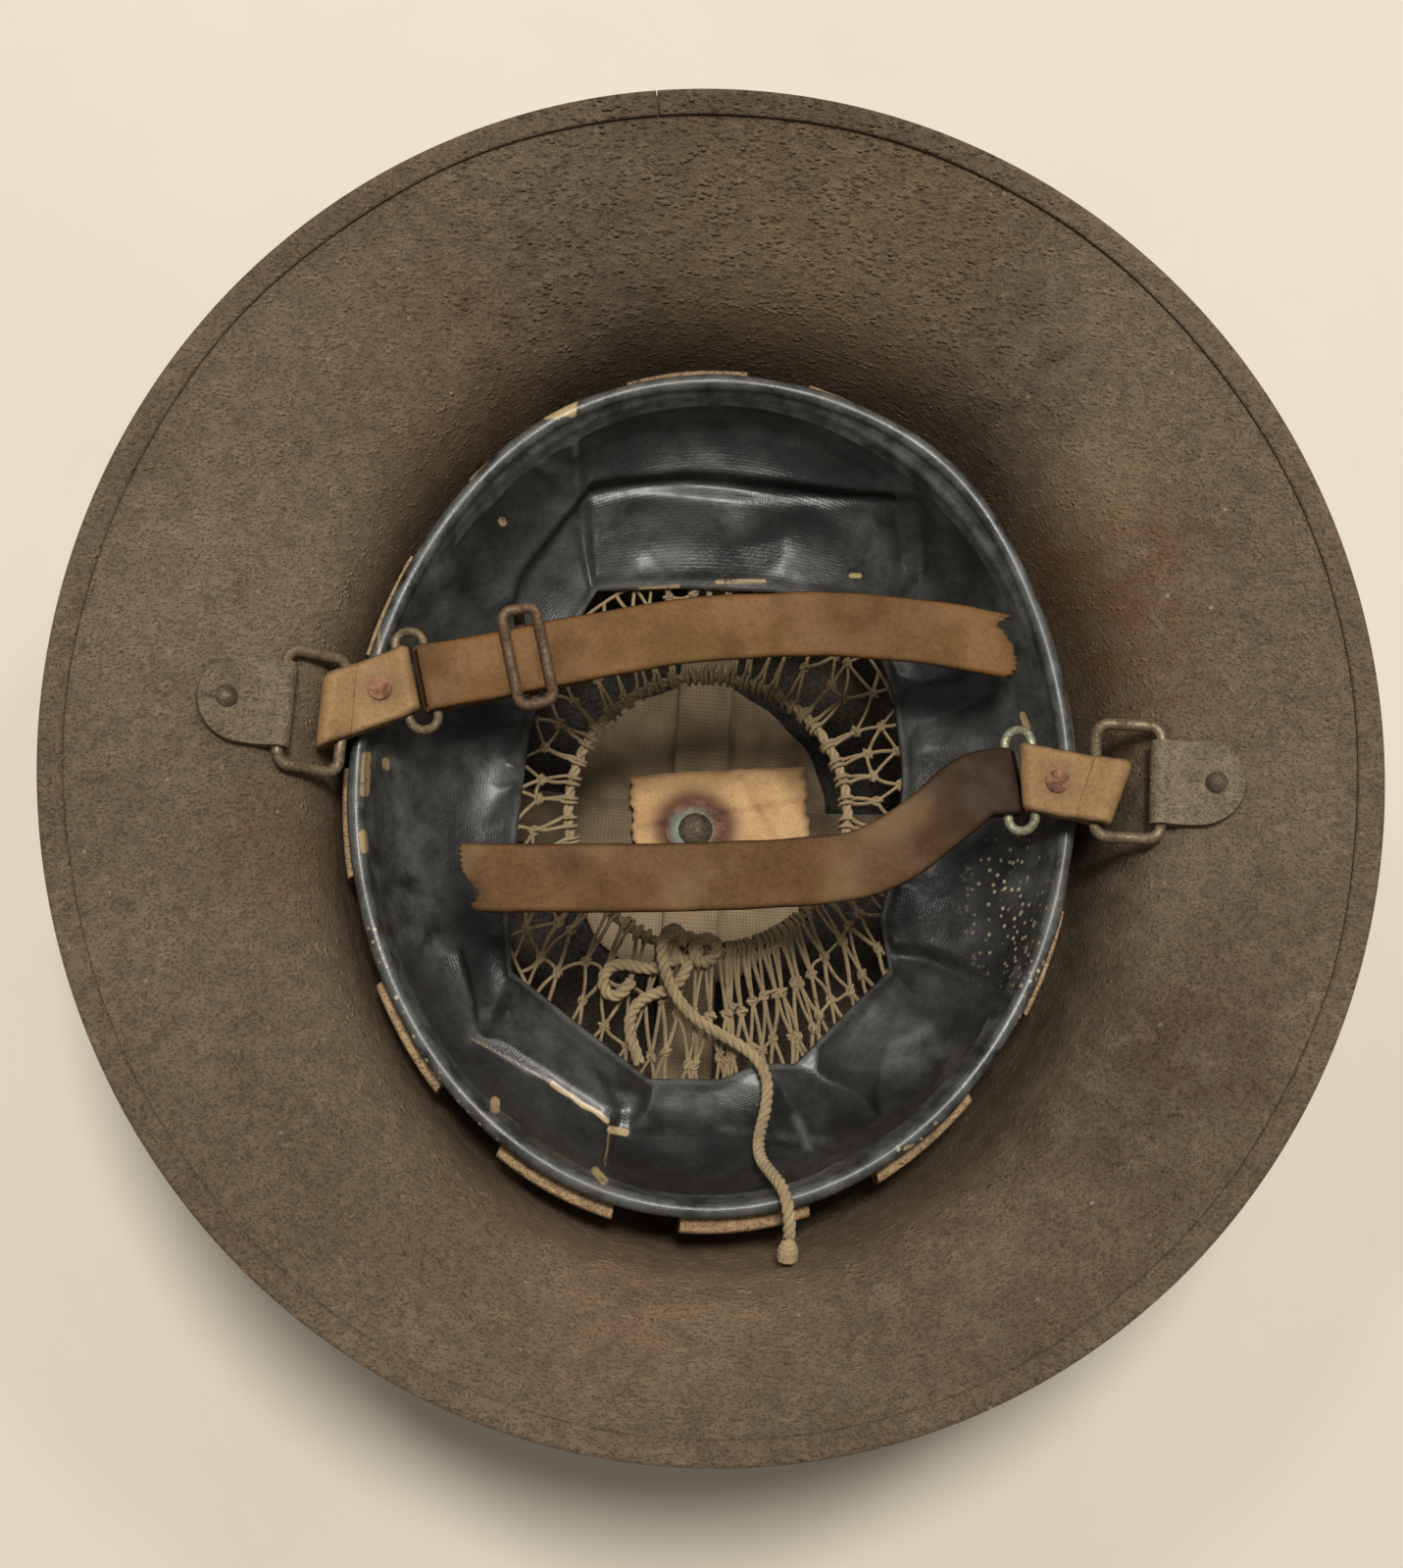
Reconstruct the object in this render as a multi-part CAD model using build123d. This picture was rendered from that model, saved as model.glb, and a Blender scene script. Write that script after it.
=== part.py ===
"""A wide-brimmed steel helmet with its liner and torn chinstraps, lying crown down, in millimetres.

+Z is up out of the bowl, X runs through the two strap lugs, and the origin is on the surface that
the crown rests on, below the middle of the rim.
"""
from build123d import *
import math
import os

# Overall size
rim_half_width = 148.5
rim_half_length = 155.0
overall_height = 112.0
crown_set_back = 4.5
bowl_offset = 3.0
shell_wall = 1.0
seat = 0.3
overrun = 30.0

# Folded strip round the rim
edging_gauge = 0.6
edging_reach = 7.0
edging_fit = 0.05

# Crown rivet and what it holds
rivet_head_radius = 6.5
rivet_head_height = 1.2
rivet_shank_radius = 2.4
rivet_dome_radius = 4.6
rivet_dome_height = 1.6
shank_fit = 0.05
washer_radius = 8.0
washer_thickness = 0.9
pad_thickness = 2.6
crown_strap_gauge = 1.8
crown_strap_width = 15.0
layer_gap = 0.3
label_length = 48.0
label_width = 19.0
label_thickness = 0.4
label_lift = 1.2
label_side = 6.0
label_rise = 3.0
label_turn = 7.0
label_shares = [
    (-0.50, 0.46), (-0.20, 0.50), (0.12, 0.44), (0.50, 0.50), (0.48, -0.42), (0.30, -0.50),
    (0.05, -0.44), (-0.16, -0.50), (-0.34, -0.30), (-0.47, -0.36), (-0.44, 0.05),
]

# Rows of the bowl from the crown to the turn of the brim: shares of the rim's half width and half
# length, of the shell's depth, of the bowl's offset and of the crown's set back
bowl_shares = [
    (0.061, 0.058, 0.000, 0.00, 1.00),
    (0.203, 0.207, 0.016, 0.00, 1.00),
    (0.338, 0.369, 0.065, 0.10, 1.00),
    (0.446, 0.505, 0.148, 0.30, 1.00),
    (0.528, 0.609, 0.261, 0.50, 1.00),
    (0.582, 0.674, 0.398, 0.75, 1.00),
    (0.612, 0.709, 0.552, 0.90, 1.00),
    (0.632, 0.732, 0.688, 1.00, 0.90),
    (0.663, 0.758, 0.779, 1.00, 0.70),
    (0.703, 0.787, 0.824, 0.80, 0.60),
    (0.757, 0.826, 0.857, 0.60, 0.45),
]
rim_share = (1.0, 1.0, 1.0, 0.0, 0.0)
pad_rows = 3

# Strap lugs, bails, rings and their wire
lug_width = 19.6
lug_gauge = 1.2
lug_length = 19.0
left_lug_reach = 99.7
right_lug_reach = 102.7
left_lug_side = 2.0
right_lug_side = 0.0
lug_rivet_run = 12.5
lug_rivet_radius = 1.5
lug_head_radius = 2.6
lug_head_height = 1.2
wire_fit = 0.08
bail_wire = 1.35
bail_length = 26.8
bail_reach = 15.2
bail_corner = 3.2
left_bail_droop = 32.0
right_bail_droop = 6.0
ring_wire = 1.1
ring_length = 24.0
ring_reach = 6.7
ring_corner = 3.3
left_ring_droop = 8.0
right_ring_droop = 35.0

# Leather loops and straps
leather = 1.9
loop_width = 16.0
strap_width = 16.0
loop_span = 14.3
left_loop_turn = 27.5
right_loop_turn = 9.0
left_loop_droop = 8.0
right_loop_droop = 12.0
left_loop_side = 3.2
right_loop_side = -2.6
left_strap_turn = 16.0
right_strap_turn = -5.0
slot_room = 0.45
slot_slack = 3.2
loop_rivet_radius = 1.3
loop_head_radius = 2.7
loop_head_height = 0.7
loop_rivet_share = 0.6
left_strap_length = 138.0
right_strap_length = 128.0
left_double = 37.0
right_double = 18.0
left_route_shares = [
    (0.0, 0.0), (0.275, 0.0), (0.435, -0.004), (0.572, -0.019), (0.695, -0.042), (0.855, -0.087), (1.0, -0.144),
]
right_route_shares = [
    (0.0, 0.0), (0.060, 0.010), (0.145, 0.076), (0.227, 0.130), (0.325, 0.157), (0.586, 0.169), (1.0, 0.165),
]
tear_depth = 4.0
left_tear_shares = [(0.0, -0.6), (-0.4, -0.3), (0.5, -0.12), (-1.0, 0.1), (0.3, 0.3), (-0.3, 0.6)]
right_tear_shares = [(-0.2, -0.6), (0.4, -0.3), (-0.9, -0.05), (0.2, 0.2), (-0.6, 0.4), (0.2, 0.6)]
torn_hole_radius = 2.2
torn_hole_run = 9.5

# Wire slide on the left strap
slide_wire = 1.3
slide_length = 23.1
slide_reach = 8.2
slide_corner = 2.4
slide_place = 23.0
slide_room = 0.15
slide_waist = 1.3

# Liner: band, rubber tubes and oilcloth
liner_half_width = 84.6
liner_half_length = 100.0
liner_offset = 0.5
liner_band_low = 62.0
liner_band_high = 78.7
liner_band_thickness = 1.6
tube_count = 12
tube_low = 67.0
tube_height = 9.5
tube_side_thickness = 2.8
tube_end_thickness = 4.5
tube_fit = 0.1
tube_wall = 0.8
tube_span = 17.0
tube_first = 9.0
stud_radius = 1.0
drill_turn = 90.0
stud_head_radius = 2.0
stud_head_height = 0.4
joint_width = 3.0
oilcloth_thickness = 1.2
skirt_gap = 0.3
roll_radius = 2.0
roll_height = 80.0
opening_half_width = 50.0
opening_half_length = 63.0
opening_height = 50.0
opening_set_back = 10.0
# Rows of the skirt from the opening up: shares of the way from the opening to the roll, across, along,
# up, and back from the opening's middle to the liner's
skirt_shares = [
    (0.00, 0.00, 0.000, 0.00),
    (0.37, 0.34, 0.083, 0.35),
    (0.71, 0.69, 0.300, 0.70),
    (0.915, 0.90, 0.600, 0.90),
    (1.00, 1.00, 0.960, 1.00),
]
# Section of the roll past the skirt, in roll radii out from the skirt's face and up from its middle
outer_roll_shares = [(1.3, -0.5), (1.5, 0.0), (1.3, 0.6), (0.8, 1.0)]
inner_roll_shares = [(-0.5, 0.0), (-0.3, 0.6), (0.2, 1.0)]
# Half of a crown strap from the crown out: shares of its half span and of its rise
crown_route_shares = [
    (0.0, 0.0), (0.36, 0.04), (0.60, 0.155), (0.79, 0.34), (0.905, 0.57), (0.965, 0.81), (0.995, 1.0),
]

# Net and drawstring
net_thickness = 1.2
net_margin = 5.0
net_gap = 0.4
net_strand = 1.3
net_meshes = 60
net_rows_shares = [(0.03, 0.40), (0.47, 0.94)]
net_unevenness_share = 0.22
ring_radius = 35.0
ring_offset = 1.0
ring_set_back = 6.5
ring_cord = 1.6
knot_side = -1.3
knot_drop = 35.1
knot_lift = 3.0
knot_minor = 1.7
knot_major = 3.0
knot_lean = 22.0
knot_spread = 4.8
cord_radius = 1.5
end_knot_radius = 2.5
end_knot_length = 5.8

# The drawstring's free stretches, points chosen by hand
tail_route = [
    (-3.6, -40.4, 53.2), (-4.2, -37.8, 57.0), (-7.0, -37.6, 60.0), (-9.0, -41.0, 60.4), (-8.4, -45.4, 59.0),
    (-6.6, -50.2, 57.2), (-3.2, -55.2, 56.0), (1.0, -58.9, 55.2), (6.2, -61.6, 54.6), (11.8, -64.0, 54.3),
    (16.6, -67.2, 55.0), (19.2, -72.4, 56.6), (18.8, -79.4, 59.0), (16.9, -86.0, 63.2), (16.8, -91.0, 70.0),
    (18.8, -94.2, 78.0), (21.0, -97.2, 85.0), (22.2, -101.2, 87.0), (22.9, -105.2, 86.6), (23.0, -108.2, 85.2),
]
curl_route = [
    (-4.6, -43.9, 52.8), (-7.8, -46.4, 52.5), (-12.0, -47.3, 52.3), (-16.8, -46.2, 52.3), (-20.8, -47.0, 52.3),
    (-22.6, -50.8, 52.3), (-20.6, -54.6, 52.6), (-17.0, -53.8, 53.5), (-15.4, -50.4, 53.9),
]
short_route = [
    (-1.6, -44.3, 52.8), (-2.6, -48.6, 52.5), (-5.6, -51.8, 52.4), (-9.8, -53.0, 52.3), (-13.4, -55.4, 52.3),
    (-15.2, -59.4, 52.3), (-14.6, -63.8, 52.3), (-12.9, -67.6, 52.4), (-11.9, -70.2, 52.5),
]
fillet_share = 0.45

shell_half_width = rim_half_width - edging_gauge - edging_fit
shell_half_length = rim_half_length - edging_gauge - edging_fit
shell_depth = overall_height - edging_gauge - edging_fit - shell_wall - rivet_head_height
lug_fold_radius = bail_wire + wire_fit + lug_gauge
eye_hole_radius = ring_wire + wire_fit
eye_radius = eye_hole_radius + leather
crown = (0.0, -crown_set_back)
liner_middle = (liner_offset, -crown_set_back)
net_middle = (ring_offset, -opening_set_back)
ring_middle = (ring_offset, -ring_set_back)
net_top = opening_height - net_gap


def row_at(share):
    """Half width, half length, height and middle of one row of the shell's outer face."""
    across, along, up, aside, back = share
    return (across * shell_half_width, along * shell_half_length,
            rivet_head_height + up * shell_depth, aside * bowl_offset, -back * crown_set_back)


shell_rows = [row_at(share) for share in bowl_shares]
rim_row = row_at(rim_share)


def inset_rows(rows, inset, reach=0.0):
    """The rows moved square to the wall by inset, and the last one pushed on along the wall by reach."""
    moved = []
    last = len(rows) - 1
    for i, (across, along, up, aside, back) in enumerate(rows):
        before, after = rows[max(i - 1, 0)], rows[min(i + 1, last)]
        run = (after[0] + after[1] - before[0] - before[1]) / 2
        rise = after[2] - before[2] if i else 0.0
        length = math.hypot(run, rise)
        run, rise = run / length, rise / length
        on = reach if i == last else 0.0
        moved.append((across - inset * rise + on * run, along - inset * rise + on * run,
                      up + inset * run + on * rise, aside, back))
    return moved


def lofted(rows, ruled=False):
    """A closed solid through ellipses, one to a row."""
    wires = [Wire.make_ellipse(across, along, Plane(origin=(aside, back, up)))
             for across, along, up, aside, back in rows]
    return Solid.make_loft(wires, ruled)


def skin(outset, inset, reach):
    """The solid between the shell's rows moved outward and inward, with its rim pushed on by reach."""
    rows = shell_rows + [rim_row]
    outer = inset_rows(rows, -outset, reach)
    inner = inset_rows(rows, inset, reach)
    body = lofted(outer[:-1]) + lofted(outer[-2:], True) + lofted([outer[-1], inner[-1]], True)
    return body - lofted(inner[:-1]) - lofted(inner[-2:], True)


def disc(radius, low, high, middle=(0.0, 0.0)):
    """An upright cylinder between two heights."""
    return Pos(middle[0], middle[1], (low + high) / 2) * Cylinder(radius, high - low)


def oval(across, along, low, high, middle):
    """An upright elliptical prism between two heights."""
    face = Face(Wire.make_ellipse(across, along, Plane(origin=(middle[0], middle[1], low))))
    return extrude(face, amount=high - low, dir=(0, 0, 1))


def bar(radius, length, x=0.0, z=0.0):
    """A cylinder along Y, round a point of the XZ plane."""
    return Pos(x, 0, z) * Rot(90, 0, 0) * Cylinder(radius, length)


def block(x_low, x_high, width, z_low, z_high):
    """A box along X, centred on Y."""
    return Pos((x_low + x_high) / 2, 0, (z_low + z_high) / 2) * Box(x_high - x_low, width, z_high - z_low)


def corner_radii(points):
    """The largest arc at each inner point that its two runs share."""
    radii = []
    for before, here, after in zip(points, points[1:], points[2:]):
        come, go = Vector(*here) - Vector(*before), Vector(*after) - Vector(*here)
        half_turn = math.radians(come.get_angle(go)) / 2
        radii.append(fillet_share * min(come.length, go.length) / math.tan(half_turn))
    return radii


def smooth_path(points):
    """Straight runs joined by tangent arcs."""
    return FilletPolyline(*points, radius=corner_radii(points))


def strip(points, width, thickness, width_dir):
    """A flat strip swept along a path, its width along one direction."""
    path = smooth_path(points)
    section = Plane(origin=path @ 0, x_dir=width_dir, z_dir=path % 0) * Rectangle(width, thickness)
    return sweep(section, path)


def cord(points, radius):
    """A round cord along a path."""
    path = smooth_path(points)
    return sweep(Plane(origin=path @ 0, z_dir=path % 0) * Circle(radius), path)


def wire_frame(reach, length, corner, wire):
    """A rounded rectangle of round wire, one long side on the Y axis and the other at reach."""
    outline = (Pos(reach / 2, 0) * RectangleRounded(reach, length, corner)).face().outer_wire()
    return sweep(Plane(origin=outline @ 0, z_dir=outline % 0) * Circle(wire), outline)


def brim_slope(side):
    """The brim's slope through a lug, in degrees."""
    low, high = shell_rows[-1], rim_row
    run = (high[0] + side * high[3]) - (low[0] + side * low[3])
    return math.degrees(math.atan2(high[2] - low[2], run))


def lug_plane(side, reach, along):
    """A lug's own axes: its fold's middle, X out along the brim and Z square to it."""
    slope = math.radians(brim_slope(side))
    start = shell_rows[-1][0] + side * shell_rows[-1][3]
    brim = shell_rows[-1][2] + shell_wall / math.cos(slope) + (reach - start) * math.tan(slope)
    lift = (lug_fold_radius + seat) / math.cos(slope)
    return Plane(origin=(side * reach, along, brim + lift),
                 x_dir=(side * math.cos(slope), 0, math.sin(slope)),
                 z_dir=(-side * math.sin(slope), 0, math.cos(slope)))


def inward_plane(origin, side, turn, droop):
    """Axes of a piece that lies inward from a lug: X along it, turned in plan and drooping."""
    turned, fall = math.radians(turn), math.radians(droop)
    flat = (-side * math.cos(turned), math.sin(turned))
    return Plane(origin=origin,
                 x_dir=(flat[0] * math.cos(fall), flat[1] * math.cos(fall), -math.sin(fall)),
                 z_dir=(flat[0] * math.sin(fall), flat[1] * math.sin(fall), math.cos(fall)))


class Chain:
    """The planes of one side's lug, bail, loop, ring and strap, each at its hinge."""

    def __init__(self, side, reach, along, aside, turns, droops):
        self.loop_turn, self.strap_turn = turns
        bail_droop, loop_droop, ring_droop = droops
        self.lug = lug_plane(side, reach, along)
        self.bail = inward_plane(self.lug.origin, side, 0.0, bail_droop)
        far_bar = self.bail.from_local_coords(Vector(bail_reach, 0, 0))
        self.bail_bar = inward_plane(far_bar, side, 0.0, bail_droop)
        self.loop = inward_plane(far_bar + Vector(0, aside, 0), side, self.loop_turn, loop_droop)
        eye = self.loop.from_local_coords(Vector(loop_span, 0, 0))
        self.ring_bar = inward_plane(eye, side, self.strap_turn, loop_droop)
        self.ring = inward_plane(eye, side, self.strap_turn, ring_droop)
        far_eye = self.ring.from_local_coords(Vector(ring_reach, 0, 0))
        self.strap = inward_plane(far_eye, side, self.strap_turn, 0.0)


left = Chain(-1, left_lug_reach, left_lug_side, left_loop_side, (left_loop_turn, left_strap_turn),
             (left_bail_droop, left_loop_droop, left_ring_droop))
right = Chain(1, right_lug_reach, right_lug_side, right_loop_side, (right_loop_turn, right_strap_turn),
              (right_bail_droop, right_loop_droop, right_ring_droop))


def lug_drill(chain):
    """The drilled hole for a lug's rivet, through lug and brim."""
    return chain.lug * (Pos(lug_rivet_run, 0, -lug_fold_radius)
                        * Cylinder(lug_rivet_radius + shank_fit, overrun))


def make_shell():
    """The pressed steel bowl and brim, drilled at the crown and at the lugs."""
    body = skin(0.0, shell_wall, 0.0)
    return body - crown_drill() - lug_drill(left) - lug_drill(right)


def brim_ring(below, above, start, push):
    """The ring between two faces of the brim, from start in from its edge to push beyond it."""
    rows = shell_rows + [rim_row]
    outer, inner = inset_rows(rows, -below, push)[-2:], inset_rows(rows, above, push)[-2:]
    back = start / (outer[1][0] - outer[0][0])
    outer_start = tuple(edge + back * (turn - edge) for turn, edge in zip(*outer))
    inner_start = tuple(edge + back * 2 * (turn - edge) for turn, edge in zip(*inner))
    body = lofted([outer_start, outer[1]], True) + lofted([outer[1], inner[1]], True)
    return body - lofted([inner_start, inner[1]], True)


def make_rim_edging():
    """A strip folded over the rim's edge, both ways in by the same reach."""
    grown = edging_gauge + edging_fit
    return brim_ring(grown, shell_wall + grown, edging_reach, grown) - brim_ring(
        edging_fit, shell_wall + edging_fit, edging_reach * 2, edging_fit)


def crown_drill():
    """The hole for the crown rivet's shank through every layer."""
    return disc(rivet_shank_radius + shank_fit, 0, overrun, crown)


def crown_height(layers):
    """Height over the pad and so many crown straps at the crown rivet."""
    pad_top = rivet_head_height + shell_wall + seat + pad_thickness
    return pad_top + layers * (layer_gap + crown_strap_gauge)


def make_crown_pad():
    """A felt disc dished like the crown."""
    rows = shell_rows[:pad_rows + 1]
    lower = inset_rows(rows, shell_wall + seat)[:-1]
    upper = inset_rows(rows, shell_wall + seat + pad_thickness)[:-1]
    return lofted(lower) - lofted(upper) - crown_drill()


def crown_strap(half_span, layer, turn):
    """A strap from band to band across the crown, one layer up at the rivet."""
    base = crown_height(layer) - crown_strap_gauge / 2
    rise = liner_band_low - seat - base
    half = [(across * half_span, base + up * rise) for across, up in crown_route_shares]
    points = [(-x, 0, z) for x, z in reversed(half[1:])] + [(x, 0, z) for x, z in half]
    body = strip(points, crown_strap_width, crown_strap_gauge, (0, 1, 0))
    return Pos(liner_middle[0], liner_middle[1], 0) * Rot(0, 0, turn) * body - crown_drill()


def label_low():
    """Height of the paper scrap's underside."""
    return crown_height(2) + label_lift


def make_label():
    """A torn scrap of paper under the crown washer, left bare."""
    outline = [(x * label_length, y * label_width) for x, y in label_shares]
    face = Pos(label_side, label_rise, label_low()) * Rot(0, 0, label_turn) * make_face(
        Polyline(*outline, close=True))
    return extrude(face, amount=label_thickness, dir=(0, 0, 1)) - crown_drill()


def make_crown_washer():
    """The round washer on the crown's layers."""
    low = label_low() + label_thickness + shank_fit
    return disc(washer_radius, low, low + washer_thickness, crown) - crown_drill()


def make_crown_rivet():
    """Flat outer head, shank and domed inner head, which the helmet rests on."""
    top = label_low() + label_thickness + shank_fit + washer_thickness
    ball = (rivet_dome_radius ** 2 + rivet_dome_height ** 2) / (2 * rivet_dome_height)
    dome = Pos(crown[0], crown[1], top + rivet_dome_height - ball) * Sphere(ball)
    dome &= disc(rivet_dome_radius, top, top + rivet_dome_height, crown)
    return disc(rivet_head_radius, 0, rivet_head_height, crown) + disc(
        rivet_shank_radius, 0, top, crown) + dome


def make_lug(chain):
    """A steel strap folded round the bail, both layers closed on the brim with a round end."""
    low = -lug_fold_radius
    flat_start = lug_fold_radius * 2
    layers = block(flat_start, lug_length, lug_width, low, low + 2 * lug_gauge)
    wedge = [(0, low), (flat_start, low), (flat_start, low + 2 * lug_gauge), (0, lug_fold_radius)]
    body = layers + bar(lug_fold_radius, lug_width) + extrude(
        Plane.XZ * make_face(Polyline(*wedge, close=True)), amount=lug_width / 2, both=True)
    half = lug_width / 2
    end = Pos(lug_length - half, 0, 0) * Cylinder(half, overrun)
    outline = block(-lug_fold_radius, lug_length - half, lug_width, -overrun / 2, overrun / 2) + end
    body = (body & outline) - bar(bail_wire + wire_fit, lug_width + overrun)
    return chain.lug * body - lug_drill(chain)


def make_lug_rivet(chain):
    """Domed inner head, shank and flat outer head below the brim."""
    top = -lug_fold_radius + 2 * lug_gauge
    low = -lug_fold_radius - seat - shell_wall
    ball = (lug_head_radius ** 2 + lug_head_height ** 2) / (2 * lug_head_height)
    dome = Pos(0, 0, top + lug_head_height - ball) * Sphere(ball)
    dome &= disc(lug_head_radius, top, top + lug_head_height)
    tail = disc(lug_head_radius, low - lug_head_height, low - shank_fit)
    body = disc(lug_rivet_radius, low - lug_head_height, top) + dome + tail
    return chain.lug * Pos(lug_rivet_run, 0, 0) * body


def make_bail(chain):
    """A rounded rectangle of wire hinged in the lug's fold."""
    return chain.bail * wire_frame(bail_reach, bail_length, bail_corner, bail_wire)


def make_loop(chain):
    """Leather folded loosely round the bail and closely round the ring, doubled between them."""
    half = bail_wire + slot_room
    outer = half + leather
    fold = bar(outer, overrun) + bar(outer, overrun, -slot_slack)
    fold += block(-slot_slack, 0, overrun, -outer, outer)
    room = bar(half, overrun) + bar(half, overrun, -slot_slack) + block(-slot_slack, 0, overrun, -half, half)
    body = chain.bail_bar * fold + chain.loop * block(0, loop_span, loop_width, -leather, leather)
    body += chain.ring_bar * bar(eye_radius, overrun)
    body &= chain.loop * block(-overrun, overrun, loop_width, -overrun, overrun)
    body = body - chain.bail_bar * room - chain.ring_bar * bar(eye_hole_radius, overrun)
    return body - chain.loop * loop_drill()


def loop_drill():
    """The hole for the rivet through the loop's two layers."""
    return Pos(loop_rivet_share * loop_span, 0, 0) * Cylinder(loop_rivet_radius + shank_fit, overrun)


def make_loop_rivet(chain):
    """A flat-headed copper rivet through the loop."""
    high = leather + loop_head_height
    body = disc(loop_rivet_radius, -high, high)
    body += disc(loop_head_radius, leather, high) + disc(loop_head_radius, -high, -leather)
    return chain.loop * Pos(loop_rivet_share * loop_span, 0, 0) * body


def make_ring(chain):
    """The wire ring between loop and strap."""
    return chain.ring * wire_frame(ring_reach, ring_length, ring_corner, ring_wire)


def strap_body(route, doubled, tear):
    """A strap folded round the ring, two layers as far as doubled and then one, with a torn end."""
    flat = [(x, y, leather / 2) for x, y in route]
    upper = strip(flat, strap_width, leather, (0, 1, 0))
    under = [(x, y, z - leather) for x, y, z in flat]
    lower = strip(under, strap_width, leather, (0, 1, 0)) & block(
        0, doubled, overrun * 4, -leather, leather)
    body = upper + lower + bar(eye_radius, strap_width) - bar(eye_hole_radius, overrun)
    end = Vector(*flat[-1]) - Vector(*flat[-2])
    edge = [(x * tear_depth - tear_depth, y * strap_width) for x, y in tear]
    off = [(tear_depth * 2, edge[-1][1]), (tear_depth * 2, edge[0][1])]
    cut = extrude(make_face(Polyline(*edge, *off, close=True)), amount=overrun, both=True)
    turn = math.degrees(math.atan2(end.Y, end.X))
    return body - Pos(*flat[-1]) * Rot(0, 0, turn) * cut


def make_left_strap():
    """The strap that carries the slide."""
    route = [(x * left_strap_length, y * left_strap_length) for x, y in left_route_shares]
    return left.strap * strap_body(route, left_double, left_tear_shares)


def make_right_strap():
    """The lower strap, with a torn hole where a rivet was."""
    route = [(x * right_strap_length, y * right_strap_length) for x, y in right_route_shares]
    body = strap_body(route, right_double, right_tear_shares)
    hole = Pos(torn_hole_run, route[1][1], 0) * Cylinder(torn_hole_radius, overrun)
    return right.strap * (body - hole)


def make_slide():
    """A wire frame over the strap with a middle bar below it."""
    above = leather + slide_room + slide_wire
    frame = Pos(slide_place - slide_reach / 2, 0, above) * wire_frame(
        slide_reach, slide_length, slide_corner, slide_wire)
    half = slide_length / 2
    points = [(slide_place, half, above), (slide_place, half - slide_waist, -above),
              (slide_place, slide_waist - half, -above), (slide_place, -half, above)]
    turned = slide_wire + slide_room
    path = FilletPolyline(*points, radius=[turned, turned])
    middle = sweep(Plane(origin=path @ 0, z_dir=path % 0) * Circle(slide_wire), path)
    return left.strap * (frame + middle)


def make_liner_band():
    """The leather band that the liner hangs from, holed for the tube studs, its ends a little apart."""
    body = oval(liner_half_width, liner_half_length, liner_band_low, liner_band_high, liner_middle)
    body -= oval(liner_half_width - liner_band_thickness, liner_half_length - liner_band_thickness,
                 liner_band_low, liner_band_high, liner_middle)
    for i in range(tube_count):
        body -= stud_plane(i) * Rot(0, 0, drill_turn) * Cylinder(stud_radius + shank_fit, liner_band_thickness * 3)
    joint = Pos(0, liner_half_length, 0) * Box(joint_width, liner_half_length, overall_height * 2)
    return body - joint


def stud_plane(i):
    """Axes at one stud: its middle on the band's outer face, Z out through the rubber tube."""
    angle = math.radians(tube_first + i * 360 / tube_count)
    place = (liner_middle[0] + liner_half_width * math.cos(angle),
             liner_middle[1] + liner_half_length * math.sin(angle), tube_low + tube_height / 2)
    out = (liner_half_length * math.cos(angle), liner_half_width * math.sin(angle), 0)
    return Plane(origin=place, x_dir=(0, 0, 1), z_dir=out)


def make_stud(i):
    """A small stud from the band into a rubber tube, headed inside the tube."""
    start = tube_fit + tube_wall + tube_fit
    shank = disc(stud_radius, -liner_band_thickness, start)
    return stud_plane(i) * (shank + disc(stud_head_radius, start, start + stud_head_height))


def ring_wall(inset, low, high):
    """The space of the rubber tubes round the band, drawn in by inset."""
    near = tube_fit + inset
    outer = oval(liner_half_width + tube_fit + tube_side_thickness - inset,
                 liner_half_length + tube_fit + tube_end_thickness - inset, low, high, liner_middle)
    return outer - oval(liner_half_width + near, liner_half_length + near, low, high, liner_middle)


def make_rubber_tube(i, solid_ring, bore_ring):
    """A flattened rubber tube laid along the band, cut to length."""
    place = stud_plane(i).origin
    middle = math.degrees(math.atan2(place.Y - liner_middle[1], place.X - liner_middle[0]))
    reach = liner_half_length * 1.5
    half = math.radians(tube_span / 2)
    corners = [(0, 0), (reach, -reach * math.tan(half)), (reach, reach * math.tan(half))]
    wedge = extrude(make_face(Polyline(*corners, close=True)), amount=overall_height)
    wedge = Pos(liner_middle[0], liner_middle[1], 0) * Rot(0, 0, middle) * wedge
    body = (solid_ring & wedge) - bore_ring
    return body - stud_plane(i) * Cylinder(stud_radius + shank_fit, 2 * (tube_fit + tube_wall + tube_fit))


def skirt_rows():
    """Rows of the oilcloth's outer face from its opening up to its roll."""
    wide = liner_half_width - liner_band_thickness - skirt_gap
    long = liner_half_length - liner_band_thickness - skirt_gap
    return [(opening_half_width + across * (wide - opening_half_width),
             opening_half_length + along * (long - opening_half_length),
             opening_height + up * (roll_height - opening_height),
             net_middle[0] + back * (liner_middle[0] - net_middle[0]),
             net_middle[1] + back * (liner_middle[1] - net_middle[1]))
            for across, along, up, back in skirt_shares]


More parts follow.
